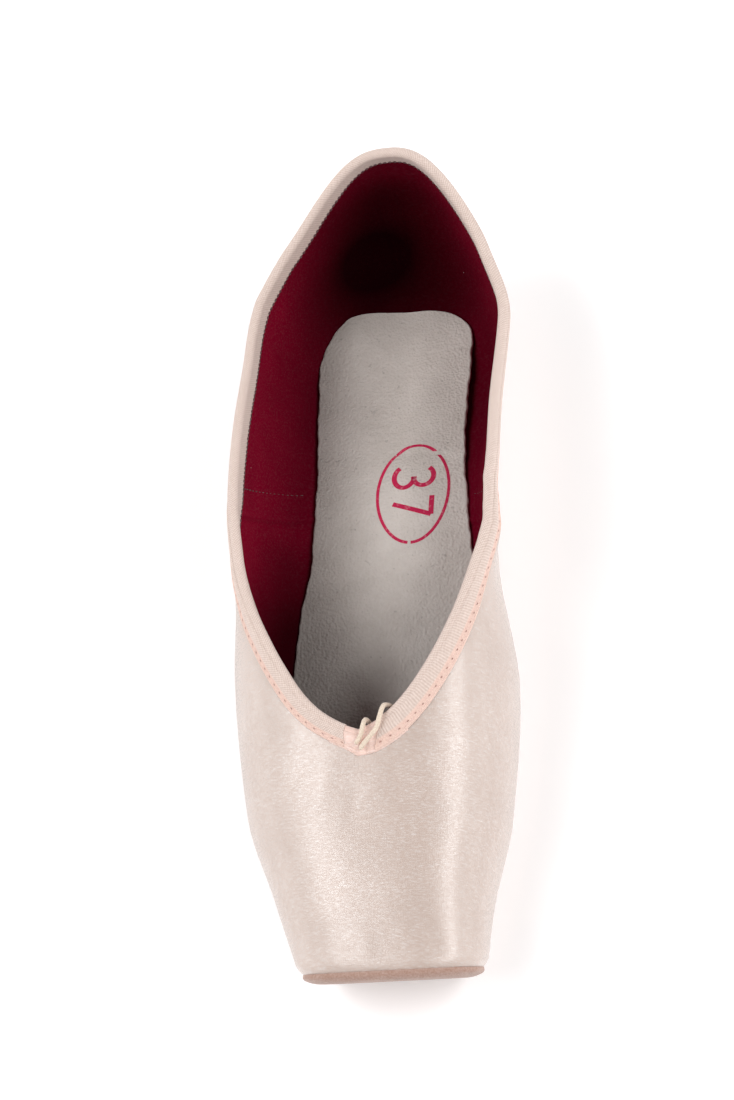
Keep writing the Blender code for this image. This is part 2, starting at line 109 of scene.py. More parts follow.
Section = namedtuple("Section", "along half_width belly roof keel squareness sweep")
SECTIONS = [
    Section(0.00, 0.621, 0.34, 0.59, 0.04, 2.7, 1.00),
    Section(0.10, 0.756, 0.36, 0.71, 0.06, 2.6, 0.51),
    Section(0.20, 0.922, 0.38, 0.81, 0.08, 2.5, 0.21),
    Section(0.36, 1.000, 0.47, 1.00, 0.15, 2.4, 0.00),
    Section(0.50, 0.917, 0.72, 1.25, 0.19, 2.3, -0.19),
    Section(0.64, 0.932, 1.02, 1.58, 0.22, 2.3, -0.30),
    Section(0.78, 0.932, 0.89, 1.70, 0.22, 2.4, -0.17),
    Section(0.90, 0.838, 0.81, 1.70, 0.21, 2.5, 0.18),
    Section(1.00, 0.610, 0.93, 1.70, 0.21, 2.5, 0.84),
]
Underside = namedtuple("Underside", "along spring arch")
UNDERSIDE = [
    Underside(0.00, 1.00, 0.00),
    Underside(0.10, 0.33, 0.00),
    Underside(0.20, 0.00, 0.00),
    Underside(0.35, 0.00, 0.00),
    Underside(0.48, 0.00, 0.50),
    Underside(0.60, 0.00, 1.00),
    Underside(0.73, 0.00, 0.50),
    Underside(0.85, 0.00, 0.00),
    Underside(1.00, 0.00, 0.00),
]
Rim = namedtuple("Rim", "along height")
COLLAR = [
    Rim(0.26, 0.513),
    Rim(0.42, 0.687),
    Rim(0.52, 0.784),
    Rim(0.65, 0.755),
    Rim(0.80, 0.681),
    Rim(0.91, 0.734),
    Rim(1.00, 1.000),
]
Outline = namedtuple("Outline", "along half_width")
SOLE_OUTLINE = [
    Outline(0.06, 0.50),
    Outline(0.20, 0.64),
    Outline(0.32, 0.67),
    Outline(0.45, 0.52),
    Outline(0.58, 0.36),
    Outline(0.68, 0.36),
    Outline(0.82, 0.46),
    Outline(0.97, 0.48),
]
# How far the insole reaches to each side of the shoe's middle line
Inlay = namedtuple("Inlay", "along left right")
INSOLE_OUTLINE = [
    Inlay(0.10, 22.7 * MM, 22.7 * MM),
    Inlay(0.30, 31.8 * MM, 31.8 * MM),
    Inlay(0.42, 28.9 * MM, 29.2 * MM),
    Inlay(0.47, 26.9 * MM, 27.2 * MM),
    Inlay(0.52, 23.4 * MM, 25.2 * MM),
    Inlay(0.57, 21.4 * MM, 23.6 * MM),
    Inlay(0.63, 21.1 * MM, 22.5 * MM),
    Inlay(0.68, 21.6 * MM, 21.0 * MM),
    Inlay(0.74, 23.2 * MM, 19.9 * MM),
    Inlay(0.82, 24.9 * MM, 19.1 * MM),
    Inlay(0.95, 26.5 * MM, 17.5 * MM),
]
Fan = namedtuple("Fan", "turn heading along height")
FAN = [
    Fan(0.00, 0, 0.42, 0.42),
    Fan(0.36, 90, 0.42, 0.42),
    Fan(0.70, 90, 0.80, 0.53),
    Fan(1.00, 180, 0.80, 0.53),
]
TOE_PUSH = 0.20
HEEL_PUSH = 0.026
SIDE_PUSH = 0.3
FAN_SPREAD = (-100, 200)
FAN_SAMPLES = 360
HALVINGS = 12
FINE_HALVINGS = 20
HALF_LINES = 360
FINE = np.linspace(0, 1, 500)

# The drawstring's two ends, in millimetres, repeated from the solids' source
DRAWSTRING_ROUTES = {
    "drawstring_left": [
        (0.6, -61.0, 46.9), (1.5, -59.9, 47.4), (2.2, -58.6, 47.8), (2.7, -56.2, 48.2), (2.9, -54.2, 47.0),
        (3.2, -53.5, 44.6), (3.5, -53.8, 42.4), (3.6, -54.1, 40.4), (3.5, -54.3, 38.1), (3.2, -54.5, 35.8),
        (2.9, -54.8, 33.4), (2.6, -55.1, 30.6), (2.3, -55.3, 27.6), (2.0, -55.4, 24.4),
    ],
    "drawstring_right": [
        (1.8, -62.5, 46.6), (2.9, -61.1, 47.2), (4.5, -59.4, 47.7), (6.3, -57.1, 48.2), (7.2, -53.8, 48.7),
        (7.7, -50.8, 47.6), (8.4, -49.5, 45.3), (9.2, -49.2, 43.2), (9.6, -49.3, 41.2), (9.7, -49.5, 38.6),
        (9.6, -49.8, 35.6), (9.4, -50.2, 32.6), (9.2, -50.5, 29.8), (9.1, -50.7, 27.0),
    ],
}

# The shoe photographed isn't quite even: at the left its collar has a kink, and at the right it flares out.
KINK = 0.9 * MM
KINK_PLACE = 80 * MM
KINK_REACH = 9 * MM
FLARE = 2.2 * MM
FLARE_FRONT = (-5 * MM, 25 * MM)
FLARE_BACK = (90 * MM, 68 * MM)
# The heights over which the wall comes to lean, and its edge, and how far from the middle line it leans fully
WALL_LEANS = (24 * MM, 46 * MM)
EDGE_LEANS = (36 * MM, 47 * MM)
LEAN_APART = 10 * MM
# How much further the collar's own edge leans outwards on each side, at places along the shoe
Lean = namedtuple("Lean", "y left right")
LEANS = [
    Lean(-62 * MM, 0.0 * MM, 0.3 * MM),
    Lean(-48 * MM, 1.5 * MM, 0.9 * MM),
    Lean(-38 * MM, 0.9 * MM, 0.8 * MM),
    Lean(-26 * MM, 0.5 * MM, 0.6 * MM),
    Lean(-19 * MM, 0.5 * MM, 0.6 * MM),
    Lean(-14 * MM, 0.8 * MM, 1.1 * MM),
    Lean(-9 * MM, 1.3 * MM, 2.2 * MM),
    Lean(-5 * MM, 1.5 * MM, 3.3 * MM),
    Lean(0 * MM, 1.4 * MM, 4.0 * MM),
    Lean(5 * MM, 1.0 * MM, 2.8 * MM),
    Lean(10 * MM, 0.5 * MM, 1.4 * MM),
    Lean(14 * MM, 0.1 * MM, 0.4 * MM),
    Lean(20 * MM, 0.0 * MM, 0.0 * MM),
]

# Painted shade in the lining, darkest in the heel's hollow: where each shade is, how far its dark and its
# fade reach, and the brightness that is left in its middle
Shade = namedtuple("Shade", "place near far left")
LINING_SHADES = [
    Shade((-0.006, 0.104, 0.022), 10 * MM, 34 * MM, 0.08),
    Shade((0.000, 0.110, 0.044), 4 * MM, 24 * MM, 0.35),
    Shade((-0.026, -0.012, 0.006), 8 * MM, 34 * MM, 0.25),
]
# The lining's painted shade also darkens it towards the floor, from one height down to another
LINING_LIT = 34 * MM
LINING_DIM = 7 * MM
LINING_DIM_SHARE = 0.48
# Painted shade on the insole: its brightness at places along it, darker towards the toe, and how it is
# darker towards its left edge, where the left wall's shadow falls
INSOLE_SHADE = [
    (-60 * MM, 0.66),
    (-40 * MM, 0.60),
    (-22 * MM, 0.62),
    (8 * MM, 0.86),
    (50 * MM, 0.88),
    (98 * MM, 1.0),
]
INSOLE_LIT = 2 * MM
INSOLE_DIM = -24 * MM
INSOLE_DIM_SHARE = 0.45
BLACK = (0, 0, 0)

# Soft folds, placed from above in millimetres: a line from one point to another, how wide the fold
# is to each side of it, and how far it sinks. A negative depth is a ridge.
Fold = namedtuple("Fold", "x0 y0 x1 y1 width depth")
SATIN_FOLDS = [
    Fold(0.5, -68, -2, -82, 2.4, 0.12),
    Fold(-5, -63, -13, -80, 2.6, -0.20),
    Fold(-10, -61, -22, -74, 2.4, 0.20),
    Fold(8, -63, 15, -78, 3.0, 0.14),
    Fold(14, -58, 24, -74, 2.6, -0.18),
    Fold(19, -53, 31, -64, 2.4, 0.16),
    Fold(-17, -53, -29, -62, 2.4, 0.16),
    Fold(-9, -104, -14, -114, 2.5, 0.20),
    Fold(16, -104, 22, -114, 2.5, 0.20),
    Fold(2, -108, 3, -115, 2.2, -0.12),
]
LINING_FOLDS = [
    Fold(-31, -18, -21, 2, 1.4, -0.9),
    Fold(-26, -30, -20, -12, 1.6, -0.6),
    Fold(31, -12, 22, 8, 1.6, -0.6),
    Fold(-4, 94, -4, 116, 1.1, -0.6),
    Fold(3, 96, 4, 116, 1.3, 0.5),
    Fold(12, 90, 16, 108, 1.5, -0.6),
]

# Seams that run down the sides: where the seam is along the shoe at the collar's height and at the insole's
Seam = namedtuple("Seam", "side y_top y_bottom")
SIDE_SEAMS = [Seam(-1, 9 * MM, 26 * MM), Seam(1, 6 * MM, 22 * MM)]
SEAM_TOP = 50 * MM
SEAM_BOTTOM = 13 * MM
SEAM_TO_STITCHES = 8.5 * MM


def linear(value):
    """An sRGB hex colour as linear red, green and blue: the standard's two-part curve, channel by channel."""
    parts = [int(value[i:i + 2], 16) / 255 for i in (0, 2, 4)]
    return tuple(part / 12.92 if part <= 0.04045 else ((part + 0.055) / 1.055) ** 2.4 for part in parts)


def eased(places, values, at):
    """Cubic through rows of place and value, each slope the harmonic mean of the rises beside it."""
    places, values = np.asarray(places, float), np.asarray(values, float)
    step = np.diff(places)
    rise = np.diff(values) / step
    alike = rise[:-1] * rise[1:] > 0
    total = np.where(alike, rise[:-1] + rise[1:], 1.0)
    slope = np.concatenate([rise[:1], np.where(alike, 2 * rise[:-1] * rise[1:] / total, 0.0), rise[-1:]])
    at = np.clip(at, places[0], places[-1])
    row = np.clip(np.searchsorted(places, at) - 1, 0, len(step) - 1)
    h = step[row]
    t = (at - places[row]) / h
    return ((1 + 2 * t) * (1 - t) ** 2 * values[row] + t * (1 - t) ** 2 * h * slope[row]
            + t * t * (3 - 2 * t) * values[row + 1] - t * t * (1 - t) * h * slope[row + 1])


def smooth(edge0, edge1, value):
    """0 before edge0, 1 past edge1, and 3 t squared less 2 t cubed between."""
    t = np.clip((value - edge0) / (edge1 - edge0), 0, 1)
    return t * t * (3 - 2 * t)


def bell(value, width):
    """A rounded bump of height 1 at 0 that is gone a few widths away: exp(-(value / width) squared)."""
    return np.exp(-(value / width) ** 2)


def column(table, name, y):
    """One column of a table at the places y, which are turned into shares of the length from the tip."""
    return eased([row.along for row in table], [getattr(row, name) for row in table], (y - TIP) / LENGTH)


def floor_height(y):
    """Height of the upper's flat underside."""
    return GROUND + TOE_SPRING * column(UNDERSIDE, "spring", y) + ARCH_HEIGHT * column(UNDERSIDE, "arch", y)


def middle(y):
    """Place of the shoe's middle line across it."""
    return SWEEP * column(SECTIONS, "sweep", y)


def rounded_meeting(a, b, radius):
    """Distance from a body bounded by two surfaces, with the edge between them rounded."""
    a, b = a + radius, b + radius
    return np.minimum(np.maximum(a, b), 0) + np.hypot(np.maximum(a, 0), np.maximum(b, 0)) - radius


def outside(points):
    """How far points lie outside the last: superellipse sections about a belly line, a rounded heel, and two
    planes for floor and platform, with their edges rounded."""
    x, y, z = points[..., 0], points[..., 1], points[..., 2]
    half = BALL_WIDTH / 2 * column(SECTIONS, "half_width", y)
    belly = INSTEP_HEIGHT * column(SECTIONS, "belly", y)
    roof = INSTEP_HEIGHT * column(SECTIONS, "roof", y)
    keel = INSTEP_HEIGHT * column(SECTIONS, "keel", y)
    power = column(SECTIONS, "squareness", y)
    floor = floor_height(y)
    above = smooth(-BELLY_BLEND, BELLY_BLEND, z - belly)
    reach = (belly - floor + keel) * (1 - above) + (roof - belly) * above
    heel = np.clip((y - BACK + HEEL_ROUND) / HEEL_ROUND, 0, None)
    level = np.abs((x - middle(y)) / half) ** power + np.abs((z - belly) / reach) ** power
    level = level + heel ** HEEL_POWER
    walls = (level ** (1 / power) - 1) * np.sqrt(half * reach)
    walls = rounded_meeting(walls, floor - z, FEATHER_ROUND)
    platform = (TIP - y) * cos(PLATFORM_TILT) - (z - PLATFORM_LEVEL) * sin(PLATFORM_TILT)
    return rounded_meeting(walls, platform, PLATFORM_ROUND)


def slope_of(points):
    """How fast outside() rises along each axis, from points a twentieth of a millimetre to each side."""
    steps = NUDGE * np.eye(3)
    return np.stack([outside(points + step) - outside(points - step) for step in steps], -1) / (2 * NUDGE)


def normals(points):
    """Directions straight out of the last."""
    slope = slope_of(points)
    return slope / np.linalg.norm(slope, axis=-1, keepdims=True)


def depth_inside(points):
    """Distance from points inside the last out to its surface, in two steps along the slope."""
    depth = 0.0
    for _ in range(2):
        slope = slope_of(points)
        rise = np.maximum(np.linalg.norm(slope, axis=-1), 0.1)
        step = -outside(points) / rise
        points = points + (step / rise)[..., None] * slope
        depth = depth + step
    return depth


def leaving_points(origin, direction):
    """Where rays from inside the last leave it: a reach halved again and again, then a straight line between
    its ends."""
    low = np.zeros(direction.shape[:-1])
    high = np.full(direction.shape[:-1], LENGTH)
    for _ in range(HALVINGS):
        half_way = (low + high) / 2
        beyond = outside(origin + direction * half_way[..., None]) > 0
        high = np.where(beyond, half_way, high)
        low = np.where(beyond, low, half_way)
    a, b = outside(origin + direction * low[..., None]), outside(origin + direction * high[..., None])
    reach = low + (high - low) * np.clip(-a / np.maximum(b - a, 1e-12), 0, 1)
    return origin + direction * reach[..., None]


def fan(turns):
    """Lines on the last in upright planes, from over its top, round the side, to beneath. A turn of 0 is the
    middle of the toe, 1 or -1 the middle of the heel."""
    marks, headings, places, heights = zip(*FAN)
    side = np.abs(turns)
    heading = np.radians(np.interp(side, marks, headings)) * np.where(turns < 0, -1, 1)
    centre = TIP + LENGTH * np.interp(side, marks, places)
    across, back = np.sin(heading), -np.cos(heading)
    push = LENGTH * np.where(back < 0, -TOE_PUSH * back, HEEL_PUSH * back)
    origin_y = centre + back * push
    origin_z = INSTEP_HEIGHT * np.interp(side, marks, heights)
    origin = np.stack([middle(origin_y) + SIDE_PUSH * across * push, origin_y, origin_z], -1)
    angle = np.radians(np.linspace(*FAN_SPREAD, FAN_SAMPLES))
    direction = np.stack([np.sin(angle) * across[:, None], np.sin(angle) * back[:, None],
                          np.cos(angle) + 0 * across[:, None]], -1)
    return leaving_points(origin[:, None], direction), angle


def in_opening(points):
    """Above nothing where the foot's opening takes the upper away."""
    x, y, z = points[..., 0], points[..., 1], points[..., 2]
    back = y - TIP - THROAT
    depth = (np.hypot(back, THROAT_ROUND) - THROAT_ROUND) / OPENING_DEPTH
    from_top = np.sign(back) * OPENING_WIDTH / 2 * depth ** OPENING_POWER - np.abs(x - middle(y))
    from_side = z - HEEL_HEIGHT * column(COLLAR, "height", y)
    share = np.clip(0.5 + 0.5 * (from_side - from_top) / COLLAR_BLEND, 0, 1)
    return from_top * share + from_side * (1 - share) - COLLAR_BLEND * share * (1 - share)


def rounded_ends(first, last, first_round, last_round, y):
    """Share of its width that a flat piece has at y, with rounded ends, and below nothing past them."""
    over = np.maximum((first + first_round - y) / first_round, (y - last + last_round) / last_round)
    over = np.clip(over, 0, None)
    inside = np.clip(1 - over ** END_POWER, 0, None) ** (1 / END_POWER)
    return np.where(over < 1, inside, 1 - over)


def sole_half_width(y, inset=0.0):
    """Half width of the outsole at y, or of an outline within it."""
    half = BALL_WIDTH / 2 * column(SOLE_OUTLINE, "half_width", y) - inset
    first, last = TIP + SOLE_TOE + inset, BACK - SOLE_HEEL - inset
    return half * rounded_ends(first, last, SOLE_TOE_ROUND, SOLE_HEEL_ROUND, y)


def in_underside(points):
    """Above nothing in the opening of the upper's underside, a margin inside the outsole's outline."""
    x, y, z = points[..., 0], points[..., 1], points[..., 2]
    room = sole_half_width(y, LASTED_MARGIN) - np.abs(x - middle(y))
    return np.minimum(room, floor_height(y) + FEATHER_ROUND - z)


def read(lines, places):
    """Points of lines at places counted in samples, a row of places for each line."""
    low = np.clip(np.floor(places).astype(int), 0, lines.shape[1] - 2)
    t = (places - low)[..., None]
    row = np.arange(len(lines))[:, None]
    return lines[row, low] * (1 - t) + lines[row, low + 1] * t


def crossing(field, inner, outer):
    """Places, in samples, where a field passes nothing between the samples inner and outer of each line."""
    row = np.arange(len(field))
    a, b = field[row, inner], field[row, outer]
    share = a / np.where(a == b, 1, a - b)
    return inner + np.clip(share, 0, 1) * (outer - inner)


def trimmed_lines(turns):
    """The fan's lines with the places of the collar's edge and of the lasted edge on each."""
    lines, angle = fan(turns)
    number = np.arange(lines.shape[1])
    level = int(np.argmin(np.abs(angle - pi / 2)))
    opening, underside = in_opening(lines), in_underside(lines)
    top = np.where((opening > 0) & (number <= level), number, 0).max(1)
    bottom = np.where((underside > 0) & (number >= level), number, number[-1]).min(1)
    return lines, crossing(opening, top, top + 1), crossing(underside, bottom, bottom - 1)


def leaning(points):
    """Points moved as the shoe photographed is uneven: a kink that dies away to both sides and a flare, which
    grow with height, and the collar's own lean, which only its edge has."""
    x, y, z = points[..., 0], points[..., 1], points[..., 2]
    kink = KINK * np.exp(-np.abs(y - KINK_PLACE) / KINK_REACH)
    flare = FLARE * smooth(*FLARE_FRONT, y) * smooth(*FLARE_BACK, y)
    places = [row.y for row in LEANS]
    left, right = (eased(places, [getattr(row, side) for row in LEANS], y) for side in ("left", "right"))
    wall, edge = smooth(*WALL_LEANS, z), smooth(*EDGE_LEANS, z)
    apart = smooth(0, LEAN_APART, np.abs(x - middle(y)))
    moved = points.copy()
    moved[..., 0] += apart * np.where(x > middle(y), wall * flare + edge * right, -wall * kink - edge * left)
    return moved


@lru_cache(maxsize=None)
def shoe_lines():
    """All round the shoe, from the middle of the toe: turns, dense lines from collar to lasted edge, their
    lengths so far, and the points where each place of a line is."""
    half = np.linspace(0, 1, HALF_LINES + 1)
    turns = np.concatenate([half, -half[-2:0:-1]])
    lines, first, last = trimmed_lines(turns)
    dense = leaning(read(lines, first[:, None] + (last - first)[:, None] * FINE))
    way = np.cumsum(np.linalg.norm(np.diff(dense, axis=1, prepend=dense[:, :1]), axis=-1), 1)
    return turns, dense, way


def at_shares(shares, bend=12 * MM):
    """Points on every line at shares of its way, closer where it bends: a radian counts as its bend more."""
    dense, way = shoe_lines()[1:]
    step = np.diff(dense, axis=1)
    length = np.linalg.norm(step, axis=-1)
    unit = step / np.maximum(length, 1e-9)[..., None]
    turn = np.zeros_like(length)
    turn[:, 1:] = np.arccos(np.clip((unit[:, 1:] * unit[:, :-1]).sum(-1), -1, 1))
    counted = np.concatenate([np.zeros((len(way), 1)), np.cumsum(length + bend * turn, 1)], 1)
    place = np.stack([np.interp(shares * w[-1], w, FINE) for w in counted])
    return read(dense, place * (len(FINE) - 1))


def at_distances(distances):
    """Points on every line at distances down from the collar's edge: one row for all or a row for each."""
    turns, dense, way = shoe_lines()
    rows = np.broadcast_to(distances, (len(turns), np.shape(distances)[-1]))
    place = np.stack([np.interp(d, w, FINE) for d, w in zip(rows, way)])
    return read(dense, place * (len(FINE) - 1))


def swept_mesh(name, rings, finish, looped=False):
    """A closed surface through rings of points, an array of rings by points by 3. Each ring is joined to the
    next, and the last to the first where it is looped; otherwise a face closes each end. The UV map holds
    metres: U along the sweep and V round the ring."""
    count, size = rings.shape[:2]
    i = np.arange(count if looped else count - 1)[:, None]
    j = np.arange(size)
    after, beside = (i + 1) % count, (j + 1) % size
    quads = np.stack([i * size + j, after * size + j, after * size + beside, i * size + beside], -1)
    quads = quads.reshape(-1, 4)
    vertices = rings.reshape(-1, 3)
    a, b, c, d = (vertices[quads[:, k]] for k in range(4))
    volume = (np.cross(b, c) * a).sum() + (np.cross(c, d) * a).sum()
    ahead = np.linalg.norm(np.roll(rings, -1, 0) - rings, axis=-1).mean(1)
    round_ring = np.linalg.norm(np.roll(rings, -1, 1) - rings, axis=-1).mean(0)
    u = np.concatenate([[0], np.cumsum(ahead)])
    v = np.concatenate([[0], np.cumsum(round_ring)])
    corner_u = np.stack(np.broadcast_arrays(u[i], u[i + 1], u[i + 1], u[i + 0 * j]), -1) + 0 * j[:, None]
    corner_v = np.stack(np.broadcast_arrays(v[j], v[j] + 0 * i, v[j + 1], v[j + 1]), -1)
    uv = np.stack(np.broadcast_arrays(corner_u, corner_v), -1).reshape(-1, 4, 2)
    faces = quads.tolist()
    if not looped:
        ends = [list(range(size)), list(range((count - 1) * size, count * size))[::-1]]
        faces += ends
        uv = np.concatenate([uv.reshape(-1, 2), np.stack([np.full(size, u[0]), v[:-1]], -1),
                             np.stack([np.full(size, u[count - 1]), v[:-1][::-1]], -1)])
    else:
        uv = uv.reshape(-1, 2)
    mesh = bpy.data.meshes.new(name)
    mesh.from_pydata(vertices.tolist(), [], faces)
    layer = mesh.uv_layers.new(name="UVMap")
    layer.data.foreach_set("uv", uv.astype(np.float32).ravel())
    if volume < 0:
        mesh.flip_normals()
    return finished(name, mesh, finish)


def finished(name, mesh, finish, angle=50):
    """An object of a mesh, shaded smooth but for sharp edges, with its finish, riding on the shoe's body."""
    mesh.validate()
    mesh.shade_smooth()
    mesh.set_sharp_from_angle(angle=radians(angle))
    mesh.materials.append(finish)
    piece = bpy.data.objects.new(name, mesh)
    bpy.context.scene.collection.objects.link(piece)
    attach(piece, "root")
    return piece


BEAD_SIDES = 6


def bead_mesh(name, centres, aheads, ups, size, finish):
    """Stitches in one mesh, each a rounded bead of six-sided rings that sinks into the cloth at both ends.
    Its size is its length ahead, its width across and its height along up."""
    length, width, height = size
    share = np.linspace(-1, 1, 7)[1:-1]
    angle = np.linspace(0, 2 * pi, BEAD_SIDES, endpoint=False)
    radius = np.sqrt(1 - np.abs(share) ** 3)
    unit = np.stack([share[:, None] + 0 * angle, radius[:, None] * np.cos(angle),
                     radius[:, None] * np.sin(angle)], -1)
    unit = unit.reshape(-1, 3) * [length / 2, width / 2, height / 2]
    across = np.cross(ups, aheads)
    across /= np.linalg.norm(across, axis=-1, keepdims=True)
    aheads = aheads / np.linalg.norm(aheads, axis=-1, keepdims=True)
    axes = np.stack([aheads, across, ups], 1)
    points = centres[:, None] + np.einsum("kp,npq->nkq", unit, axes)
    i, j = np.arange(len(share) - 1)[:, None] * BEAD_SIDES, np.arange(BEAD_SIDES)
    after, beside = i + BEAD_SIDES, (j + 1) % BEAD_SIDES
    quads = np.stack([i + j, after + j, after + beside, i + beside], -1).reshape(-1, 4)
    last = (len(share) - 1) * BEAD_SIDES
    a, b, c = points[0][quads[0, :3]]
    turned = np.dot(np.cross(b - a, c - a), a - centres[0]) < 0
    each = quads[:, ::-1].tolist() if turned else quads.tolist()
    caps = [list(range(BEAD_SIDES)), list(range(last, last + BEAD_SIDES))[::-1]]
    each += [cap[::-1] for cap in caps] if turned else caps
    faces = [[corner + n * len(unit) for corner in face] for n in range(len(centres)) for face in each]
    mesh = bpy.data.meshes.new(name)
    mesh.from_pydata(points.reshape(-1, 3).tolist(), [], faces)
    return finished(name, mesh, finish, 80)


def stitched(name, line, spacing, size, finish, closed=False):
    """A row of stitches along a line of points, or all round a closed one."""
    if closed:
        line = np.concatenate([line, line[:1]])
    run = np.cumsum(np.linalg.norm(np.diff(line, axis=0, prepend=line[:1]), axis=-1))
    margin = 0 if closed else spacing / 2
    places = np.arange(margin, run[-1] - margin, spacing)
    centres = np.stack([np.interp(places, run, axis) for axis in line.T], -1)
    further = (places + 0.3 * MM) % run[-1]
    ahead = np.stack([np.interp(further, run, axis) for axis in line.T], -1) - centres
    stitches = bead_mesh(name, centres, ahead, normals(centres), size, finish)


def folds(table, points):
    """How far the listed folds sink a surface: a bell across each fold's line, seen from above, that fades
    out over its last third at both ends."""
    x, y = points[..., 0] / MM, points[..., 1] / MM
    sunk = np.zeros_like(x)
    for fold in table:
        dx, dy = fold.x1 - fold.x0, fold.y1 - fold.y0
        reach = np.hypot(dx, dy)
        share = ((x - fold.x0) * dx + (y - fold.y0) * dy) / reach ** 2
        off = ((x - fold.x0) * dy - (y - fold.y0) * dx) / reach
        fade = smooth(-0.1, 0.35, share) * smooth(1.1, 0.65, share)
        sunk += fold.depth * MM * fade * bell(off, fold.width)
    return sunk


def from_side_seam(points):
    """Signed distance along the shoe from the nearest side seam, which leans with height."""
    x, y, z = points[..., 0], points[..., 1], points[..., 2]
    share = (SEAM_TOP - z) / (SEAM_TOP - SEAM_BOTTOM)
    away = [y - seam.y_top - (seam.y_bottom - seam.y_top) * share for seam in SIDE_SEAMS]
    return np.where(x < 0, away[0], away[1])


def from_back_seam(points):
    """Signed distance across the shoe from the back seam, and a long way off ahead of the heel's round."""
    x, y = points[..., 0], points[..., 1]
    return np.where(y > BACK - HEEL_ROUND, x - middle(y), 1.0)


def wall_depth(points):
    """Thickness of the wall: the cloth's own behind the throat, growing to the box's over the toes."""
    y, z = points[..., 1], points[..., 2]
    ahead = (TIP + THROAT - CASING_INNER_LEG - y) / BOX_RAMP
    up = (z - floor_height(y) - BOX_FOOT) / (BOX_RAMP / 2)
    return WALL + (BOX_WALL - WALL) * np.clip(np.minimum(ahead, up), 0, 1)


def add(tree, kind, inputs=(), output=0, **settings):
    """Adds a shader node with its settings, sets or links its inputs by name or number, and gives one of
    its outputs."""
    node = tree.nodes.new("ShaderNode" + kind)
    for name, value in settings.items():
        setattr(node, name, value)
    for name, value in dict(inputs).items():
        if isinstance(value, bpy.types.NodeSocket):
            tree.links.new(value, node.inputs[name])
        else:
            node.inputs[name].default_value = value
    return node.outputs[output]


def new_finish(name, **values):
    """A material with a Principled shader, and the values of its sockets that are the same all over."""
    finish = bpy.data.materials.new(name)
    finish.use_nodes = True
    shader = finish.node_tree.nodes["Principled BSDF"]
    for socket, value in values.items():
        shader.inputs[socket.replace("_", " ")].default_value = value
    return finish, finish.node_tree, shader


def lighter(colour, share):
    """A colour carried a share of the way to white, or to black for a share below nothing."""
    goal = 1 if share > 0 else 0
    return tuple(part + (goal - part) * abs(share) for part in colour)


def laid_over(tree, base, colour, pattern, low, high, share=1.0):
    """A colour over a base colour: none of it where the pattern's value is low, and a share where high."""
    cover = add(tree, "MapRange", {0: pattern, 1: low, 2: high, 3: 0.0, 4: share})
    under = base if isinstance(base, bpy.types.NodeSocket) else (*base, 1)
    return add(tree, "Mix", {0: cover, 6: under, 7: (*colour, 1)}, 2, data_type="RGBA")


def long_spots(tree, place, spots, detail, roughness=0.5):
    """A noise pattern stretched along the axes: how many spots a metre holds along each."""
    stretched = add(tree, "Mapping", {"Vector": place, "Scale": spots})
    return add(tree, "TexNoise", {"Vector": stretched, "Scale": 1.0, "Detail": detail,
                                  "Roughness": roughness})


def shaded_along(tree, place, colour, stops):
    """A colour made darker along the shoe: stops are places along it and the brightness at each."""
    (first, _), (last, _) = stops[0], stops[-1]
    y = add(tree, "SeparateXYZ", {0: place}, 1)
    share = add(tree, "MapRange", {0: y, 1: first, 2: last})
    ramp = add(tree, "ValToRGB", {0: share})
    elements = ramp.node.color_ramp.elements
    while len(elements) < len(stops):
        elements.new(0.5)
    for element, (stop, bright) in zip(elements, stops):
        element.position = (stop - first) / (last - first)
        element.color = (bright, bright, bright, 1)
    return add(tree, "Mix", {0: 1.0, 6: colour, 7: ramp}, 2, data_type="RGBA", blend_type="MULTIPLY")


def dressed(tree, shader, colour, height, depth, strength):
    """Gives the shader its colour, and a height pattern that tilts the surface; depth is in metres."""
    tree.links.new(colour, shader.inputs["Base Color"])
    tilt = add(tree, "Bump", {"Height": height, "Distance": depth, "Strength": strength})
    tree.links.new(tilt, shader.inputs["Normal"])


def satin_finish(name, colour, shine=0.28):
    """Polyester satin. Long floats lie round the shoe, so it is smooth and bright across the light, with
    short glints of about 0.3 by 1.4 mm, drawn a little coarser than the real threads so that they show. They
    are smoother and raised, and also painted into its colour as lighter highlights."""
    finish, tree, shader = new_finish(name, IOR=1.52, Specular_IOR_Level=0.9, Sheen_Weight=0.70,
                                      Sheen_Roughness=0.45, Sheen_Tint=(1, 0.95, 0.92, 1))
    place = add(tree, "TexCoord", output="Object")
    glints = long_spots(tree, place, (700, 3400, 700), 3.0, 0.75)
    ribs = long_spots(tree, place, (3300, 260, 1800), 2.0)
    cloud = add(tree, "TexNoise", {"Vector": place, "Scale": 55.0, "Detail": 2.0, "Roughness": 0.5})
    # Painted highlight: the colour is lighter in the glints
    base = laid_over(tree, colour, lighter(colour, 0.5), glints, 0.47, 0.68, 0.72)
    base = laid_over(tree, base, lighter(colour, -0.12), cloud, 0.35, 0.65, 0.35)
    rough = add(tree, "MapRange", {0: glints, 1: 0.3, 2: 0.7, 3: shine + 0.07, 4: shine - 0.06})
    tree.links.new(rough, shader.inputs["Roughness"])
    height = add(tree, "Math", {0: ribs, 1: 0.45, 2: glints}, operation="MULTIPLY_ADD")
    dressed(tree, shader, base, height, 0.09 * MM, 0.6)
    return finish


